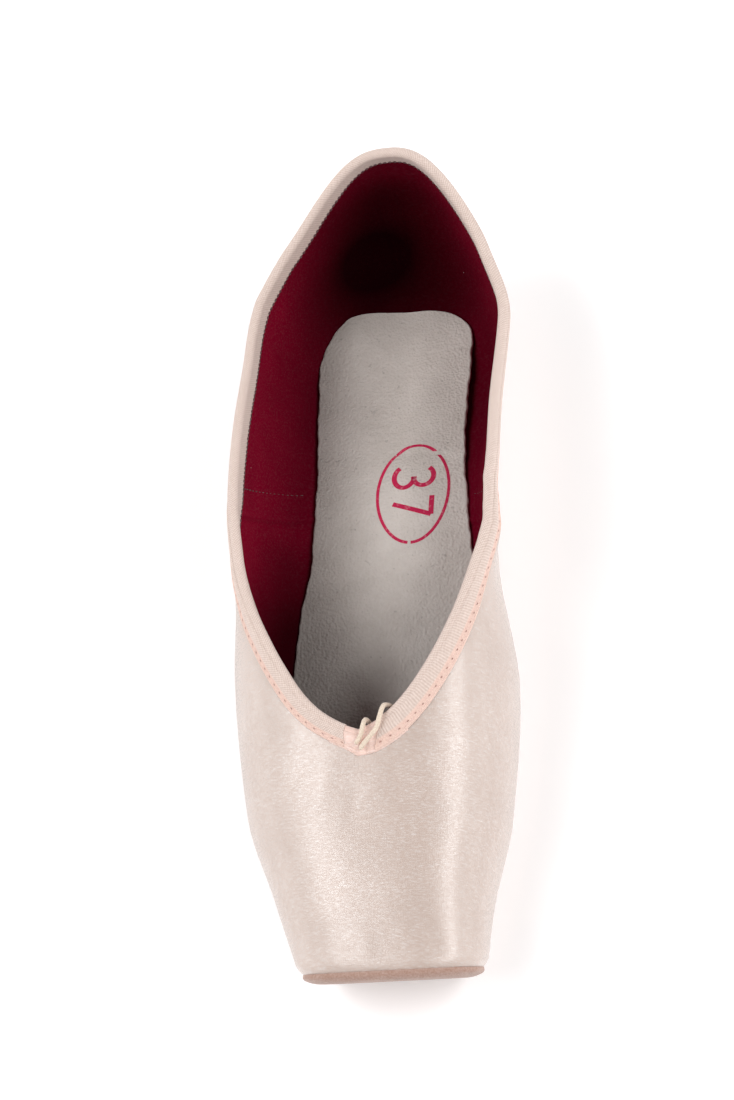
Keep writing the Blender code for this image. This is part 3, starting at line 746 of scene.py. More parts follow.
def lining_finish(name, colour):
    """Cotton drill. It is matt and deep red, with a plain weave of 0.5 mm that only tilts the light, faint
    worn patches and a few specks of pale lint about 10 mm apart. Painted shade darkens it in the heel, low on
    its left side and towards the floor."""
    finish, tree, shader = new_finish(name, Roughness=0.95, Specular_IOR_Level=0.02)
    place = add(tree, "TexCoord", output="Object")
    cloud = add(tree, "TexNoise", {"Vector": place, "Scale": 70.0, "Detail": 3.0, "Roughness": 0.5})
    weave = long_spots(tree, place, (900, 2200, 2200), 2.0)
    lint = add(tree, "TexVoronoi", {"Vector": place, "Scale": 105.0}, "Distance")
    base = laid_over(tree, colour, lighter(colour, -0.3), cloud, 0.35, 0.7, 0.5)
    base = laid_over(tree, base, lighter(colour, 0.12), weave, 0.45, 0.75, 0.16)
    # Painted shade: the colour darkens round each of the lining's shade places
    for shade in LINING_SHADES:
        away = add(tree, "VectorMath", {0: place, 1: shade.place}, "Value", operation="DISTANCE")
        base = laid_over(tree, base, BLACK, away, shade.far, shade.near, 1 - shade.left)
    # Painted shade: darker towards the floor
    height = add(tree, "SeparateXYZ", {0: place}, 2)
    base = laid_over(tree, base, BLACK, height, LINING_LIT, LINING_DIM, LINING_DIM_SHARE)
    base = laid_over(tree, base, (0.55, 0.42, 0.42), lint, 0.026, 0.018, 0.65)
    dressed(tree, shader, base, weave, 0.12 * MM, 0.5)
    return finish


def tape_finish(name, colour, hem, hole_spacing):
    """Woven cotton tape. Twill ribs slant both ways about every 0.75 mm, drawn a little coarse so that they
    show. The pressed hem along its lower edge is pinker, with a row of dark needle holes. V is metres from
    that edge and U metres along it."""
    finish, tree, shader = new_finish(name, Roughness=0.78, Sheen_Weight=0.25, Sheen_Roughness=0.5,
                                      Specular_IOR_Level=0.3)
    coordinates = add(tree, "TexCoord").node
    u = add(tree, "SeparateXYZ", {0: coordinates.outputs["UV"]})
    v = u.node.outputs[1]
    waves = []
    for lean, spacing in ((0.9, 0.78 * MM), (-0.9, 0.70 * MM)):
        slant = add(tree, "Math", {0: v, 1: lean, 2: u}, operation="MULTIPLY_ADD")
        phase = add(tree, "Math", {0: slant, 1: 2 * pi / spacing}, operation="MULTIPLY")
        waves.append(add(tree, "Math", {0: phase}, operation="SINE"))
    ribs = add(tree, "Math", {0: waves[1], 1: 0.9, 2: waves[0]}, operation="MULTIPLY_ADD")
    fuzz = add(tree, "TexNoise", {"Vector": coordinates.outputs["Object"], "Scale": 1500.0, "Detail": 3.0,
                                  "Roughness": 0.5})
    height = add(tree, "Math", {0: ribs, 1: 0.30, 2: fuzz}, operation="MULTIPLY_ADD")
    base = laid_over(tree, lighter(colour, -0.20), lighter(colour, 0.24), height, 0.0, 1.0)
    base = laid_over(tree, base, hem, v, HEM_WIDTH + HEM_FADE, HEM_WIDTH, 0.8)
    off = add(tree, "Math", {0: v, 1: HOLE_ROW}, operation="SUBTRACT")
    turn = add(tree, "Math", {0: u, 1: hole_spacing}, operation="MODULO")
    step = add(tree, "Math", {0: turn, 1: hole_spacing / 2}, operation="SUBTRACT")
    slanted = add(tree, "Math", {0: off, 1: HOLE_SLANT, 2: step}, operation="MULTIPLY_ADD")
    ahead = add(tree, "Math", {0: slanted, 1: HOLE_STRETCH}, operation="MULTIPLY")
    aside = add(tree, "Math", {0: off, 1: off}, operation="MULTIPLY")
    square = add(tree, "Math", {0: ahead, 1: ahead, 2: aside}, operation="MULTIPLY_ADD")
    away = add(tree, "Math", {0: square}, operation="SQRT")
    hole = add(tree, "MapRange", {0: away, 1: HOLE_RADIUS, 2: HOLE_EDGE, 3: 0.75, 4: 0.0})
    base = laid_over(tree, base, HOLE_COLOUR, hole, 0.0, 1.0)
    sunk = add(tree, "Math", {0: hole, 1: -3.0, 2: height}, operation="MULTIPLY_ADD")
    dressed(tree, shader, base, sunk, 0.09 * MM, 0.8)
    return finish


def leather_finish(name, colour, grain, roughness=0.5, fleck=0.35, shade=None, relief=0.10 * MM):
    """Split leather, sanded. Its grain cells are a little under a millimetre across, with cloudy shading over
    centimetres, fine fibres and scattered dark flecks. An insole's also has painted shade, darker towards the
    toe and towards its left edge."""
    finish, tree, shader = new_finish(name, Specular_IOR_Level=0.35)
    place = add(tree, "TexCoord", output="Object")
    cells = add(tree, "TexVoronoi", {"Vector": place, "Scale": 1 / grain}, "Distance")
    fibres = long_spots(tree, place, (1500, 700, 1500), 4.0, 0.6)
    cloud = add(tree, "TexNoise", {"Vector": place, "Scale": 48.0, "Detail": 4.0, "Roughness": 0.55})
    flecks = add(tree, "TexNoise", {"Vector": place, "Scale": 620.0, "Detail": 1.0, "Roughness": 0.5})
    base = laid_over(tree, lighter(colour, -0.20), lighter(colour, 0.12), cloud, 0.32, 0.68)
    base = laid_over(tree, base, lighter(colour, 0.35), fibres, 0.40, 0.75, 0.35)
    base = laid_over(tree, base, lighter(colour, -0.65), flecks, 0.70, 0.76, fleck)
    # Painted shade: darker along the insole towards the toe and across it towards its left edge
    if shade:
        base = shaded_along(tree, place, base, shade)
        across = add(tree, "SeparateXYZ", {0: place})
        base = laid_over(tree, base, BLACK, across, INSOLE_LIT, INSOLE_DIM, INSOLE_DIM_SHARE)
    rough = add(tree, "MapRange", {0: cloud, 1: 0.3, 2: 0.7, 3: roughness + 0.08, 4: roughness - 0.06})
    tree.links.new(rough, shader.inputs["Roughness"])
    height = add(tree, "Math", {0: cells, 1: 0.8, 2: fibres}, operation="MULTIPLY_ADD")
    dressed(tree, shader, base, height, relief, 0.7)
    return finish


def suede_finish(name, colour):
    """Pig suede. The nap is a soft fuzz about 0.3 mm deep that scatters light towards the rims."""
    finish, tree, shader = new_finish(name, Roughness=0.95, Sheen_Weight=0.3, Sheen_Roughness=0.6,
                                      Specular_IOR_Level=0.15)
    place = add(tree, "TexCoord", output="Object")
    nap = add(tree, "TexNoise", {"Vector": place, "Scale": 1700.0, "Detail": 4.0, "Roughness": 0.7})
    cloud = add(tree, "TexNoise", {"Vector": place, "Scale": 160.0, "Detail": 3.0, "Roughness": 0.5})
    base = laid_over(tree, lighter(colour, -0.2), lighter(colour, 0.15), nap, 0.3, 0.7)
    base = laid_over(tree, base, lighter(colour, -0.15), cloud, 0.35, 0.65, 0.3)
    dressed(tree, shader, base, nap, 0.18 * MM, 0.7)
    return finish


def thread_finish(name, colour, roughness=0.55, sheen=0.3):
    """Spun thread or cord. Its plies are about 0.4 mm apart, which gives it fine light and shade."""
    finish, tree, shader = new_finish(name, Roughness=roughness, Sheen_Weight=sheen, Sheen_Roughness=0.5,
                                      Specular_IOR_Level=sheen)
    place = add(tree, "TexCoord", output="Object")
    plies = add(tree, "TexNoise", {"Vector": place, "Scale": 2600.0, "Detail": 2.0, "Roughness": 0.5})
    base = laid_over(tree, lighter(colour, -0.15), lighter(colour, 0.15), plies, 0.3, 0.7)
    dressed(tree, shader, base, plies, 0.08 * MM, 0.6)
    return finish


def ink_finish(name, colour):
    """Stamping ink soaked into leather. It is matt, and thinner in spots of about a millimetre."""
    finish, tree, shader = new_finish(name, Roughness=0.7, Specular_IOR_Level=0.3)
    place = add(tree, "TexCoord", output="Object")
    patchy = add(tree, "TexNoise", {"Vector": place, "Scale": 900.0, "Detail": 3.0, "Roughness": 0.6})
    base = laid_over(tree, colour, lighter(colour, 0.4), patchy, 0.55, 0.75, 0.6)
    tree.links.new(base, shader.inputs["Base Color"])
    return finish


def table_finish(name, colour):
    """A white acrylic table, lit a little from below as photographers do to keep the ground white."""
    finish, tree, shader = new_finish(name, Roughness=0.85, Specular_IOR_Level=0.2,
                                      Emission_Strength=FLOOR_GLOW, Emission_Color=(1, 1, 1, 1))
    place = add(tree, "TexCoord", output="Object")
    cloud = add(tree, "TexNoise", {"Vector": place, "Scale": 3.0, "Detail": 2.0, "Roughness": 0.5})
    base = laid_over(tree, colour, lighter(colour, -0.02), cloud, 0.0, 1.0)
    tree.links.new(base, shader.inputs["Base Color"])
    return finish


class PointeShoeColours(bpy.types.PropertyGroup):
    """Colours of the shoe's materials."""
    satin: bpy.props.FloatVectorProperty(
        name="Satin", description="Satin of the upper", subtype="COLOR", default=linear("C2AEA3"))
    facing: bpy.props.FloatVectorProperty(
        name="Facing", description="Satin piece at the throat", subtype="COLOR", default=linear("EBC9BC"))
    tape: bpy.props.FloatVectorProperty(
        name="Tape", description="Drawstring casing", subtype="COLOR", default=linear("DDC4B7"))
    hem: bpy.props.FloatVectorProperty(
        name="Hem", description="Pressed edge of the casing", subtype="COLOR", default=linear("E7C5B7"))
    thread: bpy.props.FloatVectorProperty(
        name="Thread", description="Stitches of the casing", subtype="COLOR", default=linear("E8C2B5"))
    waxed_thread: bpy.props.FloatVectorProperty(
        name="Waxed Thread", description="Stitches of the patch", subtype="COLOR", default=linear("B08D74"))
    lining: bpy.props.FloatVectorProperty(
        name="Lining", description="Cotton lining", subtype="COLOR", default=linear("7A0122"))
    insole: bpy.props.FloatVectorProperty(
        name="Insole", description="Insole leather", subtype="COLOR", default=linear("EBE2D9"))
    ink: bpy.props.FloatVectorProperty(
        name="Ink", description="Size mark on the insole", subtype="COLOR", default=linear("C81E50"))
    sole: bpy.props.FloatVectorProperty(
        name="Sole", description="Outsole leather", subtype="COLOR", default=linear("BFA489"))
    suede: bpy.props.FloatVectorProperty(
        name="Suede", description="Patch on the platform", subtype="COLOR", default=linear("AA8371"))
    cord: bpy.props.FloatVectorProperty(
        name="Cord", description="Drawstring", subtype="COLOR", default=linear("E6D2BC"))
    floor: bpy.props.FloatVectorProperty(
        name="Floor", description="Studio floor", subtype="COLOR", default=linear("F7F6F7"))


class PointeShoeSizes(bpy.types.PropertyGroup):
    """Sizes of the cloth, thread and trim."""
    satin_thickness: bpy.props.FloatProperty(
        name="Satin Thickness", description="Thickness of the satin", unit="LENGTH", default=0.4 * MM)
    lining_thickness: bpy.props.FloatProperty(
        name="Lining Thickness", description="Thickness of the lining", unit="LENGTH", default=0.5 * MM)
    stitch_spacing: bpy.props.FloatProperty(
        name="Stitch Spacing", description="From one stitch to the next", unit="LENGTH", default=2.7 * MM)
    thread_width: bpy.props.FloatProperty(
        name="Thread Width", description="Width of the sewing thread", unit="LENGTH", default=0.34 * MM)
    pleat_depth: bpy.props.FloatProperty(
        name="Pleat Depth", description="Height of the toe's pleats", unit="LENGTH", default=0.55 * MM)
    pleat_count: bpy.props.IntProperty(
        name="Pleats", description="Pleats under the toe, from side to side", min=4, default=26)
    cord_diameter: bpy.props.FloatProperty(
        name="Cord Diameter", description="Diameter of the drawstring", unit="LENGTH", default=1.3 * MM)
    mark_height: bpy.props.FloatProperty(
        name="Mark Height", description="Height of the insole's numerals", unit="LENGTH", default=11 * MM)


# The share of a half turn round the shoe that the toe's pleats fill, and the heel's pleats in a half turn
PLEATED_TURNS = 0.36
HEEL_PLEATS = 40


def satin_relief(points, turns, sizes):
    """How far the satin rises over the last: less its listed folds, a stitched groove at the side seams
    and the back seam, and pleats under the toe and the heel that fade from the sole's edge outwards."""
    x, y, z = points[..., 0], points[..., 1], points[..., 2]
    over_floor = z - floor_height(y)
    relief = -folds(SATIN_FOLDS, points) * smooth(12 * MM, 22 * MM, over_floor)
    seam = from_side_seam(points)
    relief += 0.16 * MM * bell(np.abs(seam) - 1.1 * MM, 0.8 * MM) - 0.28 * MM * bell(seam, 0.55 * MM)
    heel = from_back_seam(points)
    relief += 0.12 * MM * bell(np.abs(heel) - 1.0 * MM, 0.8 * MM) - 0.25 * MM * bell(heel, 0.5 * MM)
    beside_sole = np.abs(x - middle(y)) - np.maximum(sole_half_width(y), 0)
    under = smooth(5.5 * MM, 2.0 * MM, over_floor) * smooth(13 * MM, 2 * MM, beside_sole)
    toe = smooth(0.40, 0.30, np.abs(turns))
    wave = np.cos(turns * pi * sizes.pleat_count / PLEATED_TURNS)
    uneven = 0.75 + 0.25 * np.cos(turns * 61.0 + 1.3)
    relief += sizes.pleat_depth * under * toe * uneven * (0.5 + 0.5 * wave) ** 1.6
    heel_pleats = smooth(0.74, 0.82, np.abs(turns))
    heel_wave = np.cos(turns * pi * HEEL_PLEATS)
    relief += 0.5 * sizes.pleat_depth * under * heel_pleats * (0.5 + 0.5 * heel_wave) ** 2
    return relief


def make_satin(colours, sizes):
    """The satin upper as one closed wall: the last's surface with its relief, and a face inside it."""
    turns = shoe_lines()[0]
    points = at_shares(np.linspace(0, 1, 66))
    out = normals(points)
    outer = points + satin_relief(points, turns[:, None], sizes)[..., None] * out
    inner = points - sizes.satin_thickness * out
    rings = np.concatenate([outer, inner[:, ::-1]], 1)
    finish = satin_finish("pale pink polyester satin", colours.satin)
    satin = swept_mesh("satin_upper", rings, finish, looped=True)
    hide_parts("upper")


def lining_relief(points, turns):
    """How far the lining stands in from the wall: its folds, a raised seam at each side and two at the heel,
    and slow waves near the insole."""
    over_floor = points[..., 2] - floor_height(points[..., 1])
    relief = -folds(LINING_FOLDS, points) * smooth(8 * MM, 14 * MM, over_floor)
    seam = from_side_seam(points)
    relief += 0.45 * MM * bell(seam - 0.3 * MM, 0.7 * MM) - 0.25 * MM * bell(seam + 1.3 * MM, 0.6 * MM)
    relief += 0.12 * MM * smooth(9.0 * MM, 8.4 * MM, seam) * smooth(-0.5 * MM, 0.5 * MM, seam)
    heel = from_back_seam(points)
    relief += 0.35 * MM * bell(heel + 3.0 * MM, 0.8 * MM) + 0.30 * MM * bell(heel - 4.0 * MM, 0.9 * MM)
    relief += 0.25 * MM * np.sin(turns * 23 + 1) * smooth(30 * MM, 15 * MM, over_floor)
    return relief


def make_lining(colours, sizes):
    """The cotton lining on the wall's inner side, and its row of stitches beside the side seams."""
    turns = shoe_lines()[0]
    points = at_shares(np.linspace(0, 1, 60))
    out = normals(points)
    depth = wall_depth(points)[..., None]
    inner = points - (depth + lining_relief(points, turns[:, None])[..., None]) * out
    outer = points - (depth - sizes.lining_thickness) * out
    rings = np.concatenate([outer, inner[:, ::-1]], 1)
    lining = swept_mesh("lining", rings, lining_finish("burgundy cotton drill", colours.lining), looped=True)
    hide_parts("upper")
    thread = thread_finish("dark red thread", lighter(colours.lining, -0.7), 0.9, 0.0)
    for seam, name in zip(SIDE_SEAMS, ("left", "right")):
        z = np.linspace(SEAM_TOP - 6 * MM, SEAM_BOTTOM - 1 * MM, 60)
        share = (SEAM_TOP - z) / (SEAM_TOP - SEAM_BOTTOM)
        y = seam.y_top + (seam.y_bottom - seam.y_top) * share + SEAM_TO_STITCHES
        start = np.stack([middle(y), y, z], -1)
        wall = leaving_points(start, np.array([seam.side, 0.0, 0.0]) + 0 * start)
        line = wall - (WALL + 0.15 * MM) * normals(wall)
        stitched(f"lining_stitches_{name}", line, 2.2 * MM, (1.5 * MM, 0.4 * MM, 0.4 * MM), thread)


# How far a folded tape reaches down inside and outside the wall, at turns from the heel round the left side,
# over the toe's middle and back on the right
Leg = namedtuple("Leg", "turn inner outer")
CASING_LEGS = [
    Leg(-1.00, 3.4 * MM, 3.9 * MM),
    Leg(-0.75, 4.2 * MM, 3.9 * MM),
    Leg(-0.46, 4.5 * MM, 3.9 * MM),
    Leg(-0.39, 2.8 * MM, 3.9 * MM),
    Leg(-0.10, 2.6 * MM, 4.1 * MM),
    Leg(0.00, 3.0 * MM, 5.2 * MM),
    Leg(0.08, 3.2 * MM, 6.0 * MM),
    Leg(0.22, 3.2 * MM, 5.4 * MM),
    Leg(0.36, 3.2 * MM, 4.7 * MM),
    Leg(0.50, 3.4 * MM, 4.4 * MM),
    Leg(1.00, 3.4 * MM, 3.9 * MM),
]
# A folded tape: how much wider it is than the legs above, its gap from the wall and its thickness
Profile = namedtuple("Profile", "widening stand_off thickness")
CASING = Profile(0.0 * MM, 0.12 * MM, 0.5 * MM)
FACING = Profile(0.3 * MM, 0.05 * MM, 0.35 * MM)
# Stations across a folded tape: up its inside, over the collar's edge and down its outside
INSIDE_STATIONS = 12
CROWN_STATIONS = 13
OUTSIDE_STATIONS = 26
# The two rows of stitches, as shares of the way down the outside
STITCH_ROWS = [0.70, 0.86]
# The casing's ends at the throat, as distances round the collar from its middle: at the rim, and further down
LEFT_END = -4.2 * MM
LEFT_SLANT = 1.4 * MM
RIGHT_END = 7.4 * MM
RIGHT_SLANT = -4.6 * MM
SCALLOP = 0.22 * MM
# The facing's two ends in the same way, in millimetres
FACING_ENDS = (-7.0, 11.0)
# The tape's pressed hem, and its needle holes: slanted, longer than wide, and fading out over their edge
HEM_WIDTH = 2.0 * MM
HEM_FADE = 0.35 * MM
HOLE_ROW = 1.25 * MM
HOLE_SLANT = 0.8
HOLE_STRETCH = 0.5
HOLE_RADIUS = 0.08 * MM
HOLE_EDGE = 0.22 * MM
HOLE_COLOUR = (0.30, 0.11, 0.085)


def slant_of_lines():
    """How much longer the tape's way down each line is than the tape is wide, as the lines meet the collar at
    a slant."""
    edge, below = np.moveaxis(at_distances(np.array([0, MM])), 1, 0)
    along = np.roll(edge, -1, 0) - np.roll(edge, 1, 0)
    along /= np.linalg.norm(along, axis=-1, keepdims=True)
    down = (below - edge) / np.linalg.norm(below - edge, axis=-1, keepdims=True)
    slant = 1 / np.sqrt(np.clip(1 - (along * down).sum(-1) ** 2, 0.36, 1))
    for _ in range(3):
        slant = np.maximum(np.maximum(np.roll(slant, 1), np.roll(slant, -1)), slant)
    for _ in range(6):
        slant = (np.roll(slant, 1) + 2 * slant + np.roll(slant, -1)) / 4
    return slant


def folded_tape(profile, scallop=0.0):
    """Two faces of a tape folded over the collar's edge, each an array of lines by stations: up the inside of
    the wall, a half circle over its edge, and down the outside. The outer face swells over the drawstring and
    dips at the stitches."""
    turns = shoe_lines()[0]
    slant = slant_of_lines()[:, None]
    inner_leg, outer_leg = (profile.widening + eased([leg.turn for leg in CASING_LEGS],
                                                     [getattr(leg, side) for leg in CASING_LEGS], turns)
                            for side in ("inner", "outer"))
    rows = slant * inner_leg[:, None] * np.linspace(1, 0, INSIDE_STATIONS, endpoint=False)
    way = rim_way()
    rows[:, 0] += scallop * np.sin(2 * pi * way / (1.6 * MM))
    inside = at_distances(rows)
    inside_out = normals(inside)
    edge, below = np.moveaxis(at_distances(np.array([0, MM])), 1, 0)
    out = normals(edge)
    down = below - edge
    down = down - out * (down * out).sum(-1, keepdims=True)
    down = down / np.linalg.norm(down, axis=-1, keepdims=True)
    centre = edge - out * WALL / 2
    angles = np.linspace(0, pi, CROWN_STATIONS)
    shares = np.linspace(0, 1, OUTSIDE_STATIONS + 1)[1:]
    outside_points = at_distances(slant * outer_leg[:, None] * shares)
    outside_out = normals(outside_points)
    swell = 0.45 * MM * bell(shares - 0.23, 0.27)
    dip = 0.20 * MM * bell(shares - STITCH_ROWS[0], 0.07) + 0.16 * MM * bell(shares - STITCH_ROWS[1], 0.05)
    thin = 0.35 * MM * smooth(0.93, 1.0, shares)
    faces = []
    for level in (profile.thickness, 0.0):
        lift = profile.stand_off + level
        crown_lift = lift + (0.25 * MM * np.sin(angles) if level else 0 * angles)
        crown = np.stack([centre - (WALL / 2 + r) * (np.cos(a) * out + np.sin(a) * down)
                          for a, r in zip(angles, crown_lift)], 1)
        shape = (swell - dip - thin) if level else 0.15 * swell
        outer = outside_points + (lift + shape)[:, None] * outside_out
        inner = inside - (wall_depth(inside) + lift)[..., None] * inside_out
        faces.append(np.concatenate([inner, crown, outer], 1))
    return faces


@lru_cache(maxsize=None)
def rim_way():
    """Distance round the collar's edge of each line, from the middle of the toe, and below 0 on the left."""
    edge = at_distances(np.array([0.0]))[:, 0]
    step = np.linalg.norm(np.roll(edge, -1, 0) - edge, axis=-1)
    way = np.concatenate([[0], np.cumsum(step)])
    half = HALF_LINES
    return np.where(np.arange(len(edge)) <= half, way[:-1], way[:-1] - way[-1])


def whole_way():
    """The way all round the collar's edge."""
    way = rim_way()
    return way.max() - way.min() + np.abs(np.diff(np.sort(way))).mean()


def cut_along(faces, starts, ends, spacing):
    """A stretch of the tape's faces, from a distance round the collar to another, which may differ from
    station to station so that an end slants. Each station's line is read afresh about a spacing apart."""
    way = rim_way()
    order = np.argsort(way)
    table = np.concatenate([way[order], way[order] + (way.max() - way.min()) + spacing])
    count = max(2, int((ends.mean() - starts.mean()) / spacing))
    share = np.linspace(0, 1, count)[:, None]
    places = starts + (ends - starts) * share
    cut = []
    for face in faces:
        twice = np.concatenate([face[order], face[order]])
        columns = [np.stack([np.interp(places[:, j], table, twice[:, j, axis]) for axis in range(3)], -1)
                   for j in range(face.shape[1])]
        cut.append(np.stack(columns, 1))
    return cut


def make_casing(colours, sizes):
    """The drawstring's casing and its rows of stitches, with both ends slanting to the slit at the throat."""
    faces = folded_tape(CASING, SCALLOP)
    stations = faces[0].shape[1]
    slope = smooth(INSIDE_STATIONS - 1, stations - 1, np.arange(stations))
    starts = RIGHT_END + RIGHT_SLANT * slope
    ends = whole_way() + LEFT_END + LEFT_SLANT * slope
    outer, inner = cut_along(faces, starts, ends, 0.8 * MM)
    rings = np.concatenate([outer[:, ::-1], inner], 1)
    finish = tape_finish("pale pink twill tape", colours.tape, colours.hem, sizes.stitch_spacing)
    casing = swept_mesh("casing_tape", rings, finish)
    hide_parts("casing")
    thread = thread_finish("pink polyester thread", colours.thread)
    size = (0.78 * sizes.stitch_spacing, sizes.thread_width, 0.8 * sizes.thread_width)
    for number, row in enumerate(STITCH_ROWS):
        line = outer[:, INSIDE_STATIONS + CROWN_STATIONS + round(row * OUTSIDE_STATIONS) - 1]
        stitched(f"casing_stitches_{number + 1}", line, sizes.stitch_spacing, size, thread)
    # The overlock thread is dark partly for its own burgundy and partly as painted shade, the shadow along
    # the tape's inner edge
    overlock = thread_finish("dark overlock thread and painted shade", lighter(colours.lining, -0.6), 0.9, 0.0)
    size = (1.25 * MM, 0.9 * MM, 0.5 * MM)
    stitched("casing_overlock", outer[2:-2, 0], 1.45 * MM, size, overlock)


def make_facing(colours):
    """The satin piece over the collar's edge between the casing's ends. A tuck and a groove beside the slit
    begin past its crown."""
    faces = folded_tape(FACING)
    stations = faces[0].shape[1]
    starts, ends = (np.full(stations, end * MM) + whole_way() for end in FACING_ENDS)
    outer, inner = cut_along(faces, starts, ends, 0.35 * MM)
    place = np.linspace(*FACING_ENDS, len(outer))[:, None]
    past_crown = np.arange(stations)[None] - (INSIDE_STATIONS + CROWN_STATIONS - 1)
    tuck = 0.45 * MM * bell(place - 2.6 + 0.06 * past_crown, 0.7) - 0.35 * MM * bell(place - 0.9, 0.6)
    tuck = tuck * smooth(-2, 6, past_crown)
    outer = outer + tuck[..., None] * normals(outer)
    rings = np.concatenate([outer[:, ::-1], inner], 1)
    facing = swept_mesh("throat_satin", rings, satin_finish("pink facing satin", colours.facing, 0.42))
    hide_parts("throat_facing")


def smooth_route(points, spacing):
    """Points about a spacing apart on the Catmull-Rom curve through a route's own points, and its length."""
    p = np.concatenate([[2 * points[0] - points[1]], points, [2 * points[-1] - points[-2]]])
    t = np.linspace(0, 1, 20, endpoint=False)[:, None]
    spans = [0.5 * (2 * b + (c - a) * t + (2 * a - 5 * b + 4 * c - d) * t ** 2
                    + (3 * b - a - 3 * c + d) * t ** 3)
             for a, b, c, d in zip(p, p[1:], p[2:], p[3:])]
    curve = np.concatenate([*spans, points[-1:]])
    way = np.cumsum(np.linalg.norm(np.diff(curve, axis=0, prepend=curve[:1]), axis=-1))
    places = np.linspace(0, way[-1], max(2, round(way[-1] / spacing) + 1))
    return np.stack([np.interp(places, way, axis) for axis in curve.T], -1), way[-1]


def tube_rings(path, radii, angle):
    """Rings of a tube along a path, at angles round it, with a radius for each ring and angle. The frame is
    carried along without turning: each side direction is the last one less its part along the new one."""
    ahead = np.gradient(path, axis=0)
    ahead /= np.linalg.norm(ahead, axis=-1, keepdims=True)
    side = np.cross(ahead[0], [1, 0, 0])
    frames = []
    for direction in ahead:
        side = side - direction * side.dot(direction)
        side = side / np.linalg.norm(side)
        frames.append((side, np.cross(direction, side)))
    first, second = np.moveaxis(np.array(frames), 1, 0)
    outwards = np.cos(angle)[..., None] * first[:, None] + np.sin(angle)[..., None] * second[:, None]
    return path[:, None] + radii[..., None] * outwards


CORD_SIDES = 16
BRAID_PITCH = 1.5 * MM


def make_drawstrings(colours, sizes):
    """The two ends of the drawstring. Its braided strands show as small ridges that cross round the cord."""
    finish = thread_finish("braided cotton cord", colours.cord, 0.75)
    for name, route in DRAWSTRING_ROUTES.items():
        path, length = smooth_route(np.array(route) * MM, 0.22 * MM)
        angle = np.linspace(0, 2 * pi, CORD_SIDES, endpoint=False)[None]
        run = np.linspace(0, length, len(path))[:, None]
        turn = run * 2 * pi / BRAID_PITCH
        braid = np.maximum(np.sin(2 * angle + turn), np.sin(2 * angle - turn))
        ends = np.clip(np.minimum(run, length - run) / (0.5 * MM), 0, 1) ** 0.5
        radii = sizes.cord_diameter / 2 * (0.94 + 0.06 * braid) * (0.25 + 0.75 * ends)
        cord = swept_mesh(name + "_cord", tube_rings(path, radii, angle), finish)
        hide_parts(name)


def halved(low, high, holds):
    """The largest values between low and high for which a test still holds, found by halving."""
    for _ in range(FINE_HALVINGS):
        half_way = (low + high) / 2
        held = holds(half_way)
        low = np.where(held, half_way, low)
        high = np.where(held, high, half_way)
    return low


def inside_half_width(y, height):
    """Half width of the room inside the lining at a height over the upper's underside."""
    def fits(half):
        points = np.stack([middle(y) + half, y, floor_height(y) + height], -1)
        return depth_inside(points) > WALL + 0.35 * MM
    return halved(np.zeros_like(y), np.full_like(y, BALL_WIDTH), fits)


def insole_waves(x, y):
    """Small heights of the insole's leather: a crease across the heel, long soft waves and a worn hollow."""
    wave = 0.22 * MM * np.sin(x / (7 * MM) + y / (31 * MM)) * np.sin(y / (19 * MM) + 0.6)
    crease_y = 47 * MM - 0.25 * x + 2 * MM * np.sin(x / (6 * MM))
    crease = -0.35 * MM * bell(y - crease_y, 0.9 * MM) * smooth(-6 * MM, 2 * MM, x)
    crease += 0.22 * MM * bell(y - crease_y - 1.8 * MM, 1.2 * MM) * smooth(-6 * MM, 2 * MM, x)
    hollow = -0.5 * MM * bell(x, 14 * MM) * bell(y + 40 * MM, 34 * MM)
    return wave + crease + hollow


def insole_top(x, y):
    """Height of the insole's top face: over the upper's floor, with its small waves, and curling up the
    lining at the heel's left corner."""
    curl = INSOLE_CURL * smooth(*INSOLE_CURLS, y) * smooth(-2 * MM, -18 * MM, x - middle(y))
    return floor_height(y) + INSOLE_TOP + insole_waves(x, y) + curl


def make_insole(colours):
    """The insole as sections across the shoe: its top out to the lining, a rounded edge and its bottom."""
    first, last = TIP + INSOLE_TOE, INSOLE_BACK
    share = (1 - np.cos(pi * np.linspace(0.02, 0.985, 170))) / 2
    y = first + (last - first) * share
    end_share = rounded_ends(first, last, INSOLE_TOE_ROUND, INSOLE_HEEL_ROUND, y)
    ragged = 0.12 * MM * np.sin(y / (2.3 * MM)) + 0.10 * MM * np.sin(y / (0.9 * MM) + 1)
    height = INSOLE_TOP - 0.4 * MM
    curl = INSOLE_CURL * smooth(*INSOLE_CURLS, y)
    left, right = (np.minimum(end_share * column(INSOLE_OUTLINE, side, y), room) + ragged for side, room in (
        ("left", inside_half_width(y, height + curl)), ("right", inside_half_width(y, height))))
    across = np.sin(np.linspace(-pi / 2, pi / 2, 44))
    reach = np.where(across < 0, left[:, None], right[:, None]) - INSOLE_EDGE
    x_top = middle(y)[:, None] + reach * across
    ahead = y[:, None] + 0 * x_top
    top = np.stack([x_top, ahead, insole_top(x_top, y[:, None])], -1)
    low = top[:, ::-1] - [0, 0, INSOLE_THICKNESS]
    turn = np.linspace(pi / 2, -pi / 2, 6)[1:-1]
    rim = np.stack([INSOLE_EDGE * np.cos(turn), 0 * turn, INSOLE_THICKNESS / 2 * (np.sin(turn) - 1)], -1)
    right_rim = top[:, -1:] + rim
    left_rim = top[:, :1] + rim[::-1] * [-1, 1, 1]
    rings = np.concatenate([top, right_rim, low, left_rim], 1)
    finish = leather_finish("grey split leather", colours.insole, 0.8 * MM, shade=INSOLE_SHADE,
                            relief=0.32 * MM)
    insole = swept_mesh("insole_leather", rings, finish)
    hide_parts("insole")


INK_OVER = 0.05 * MM
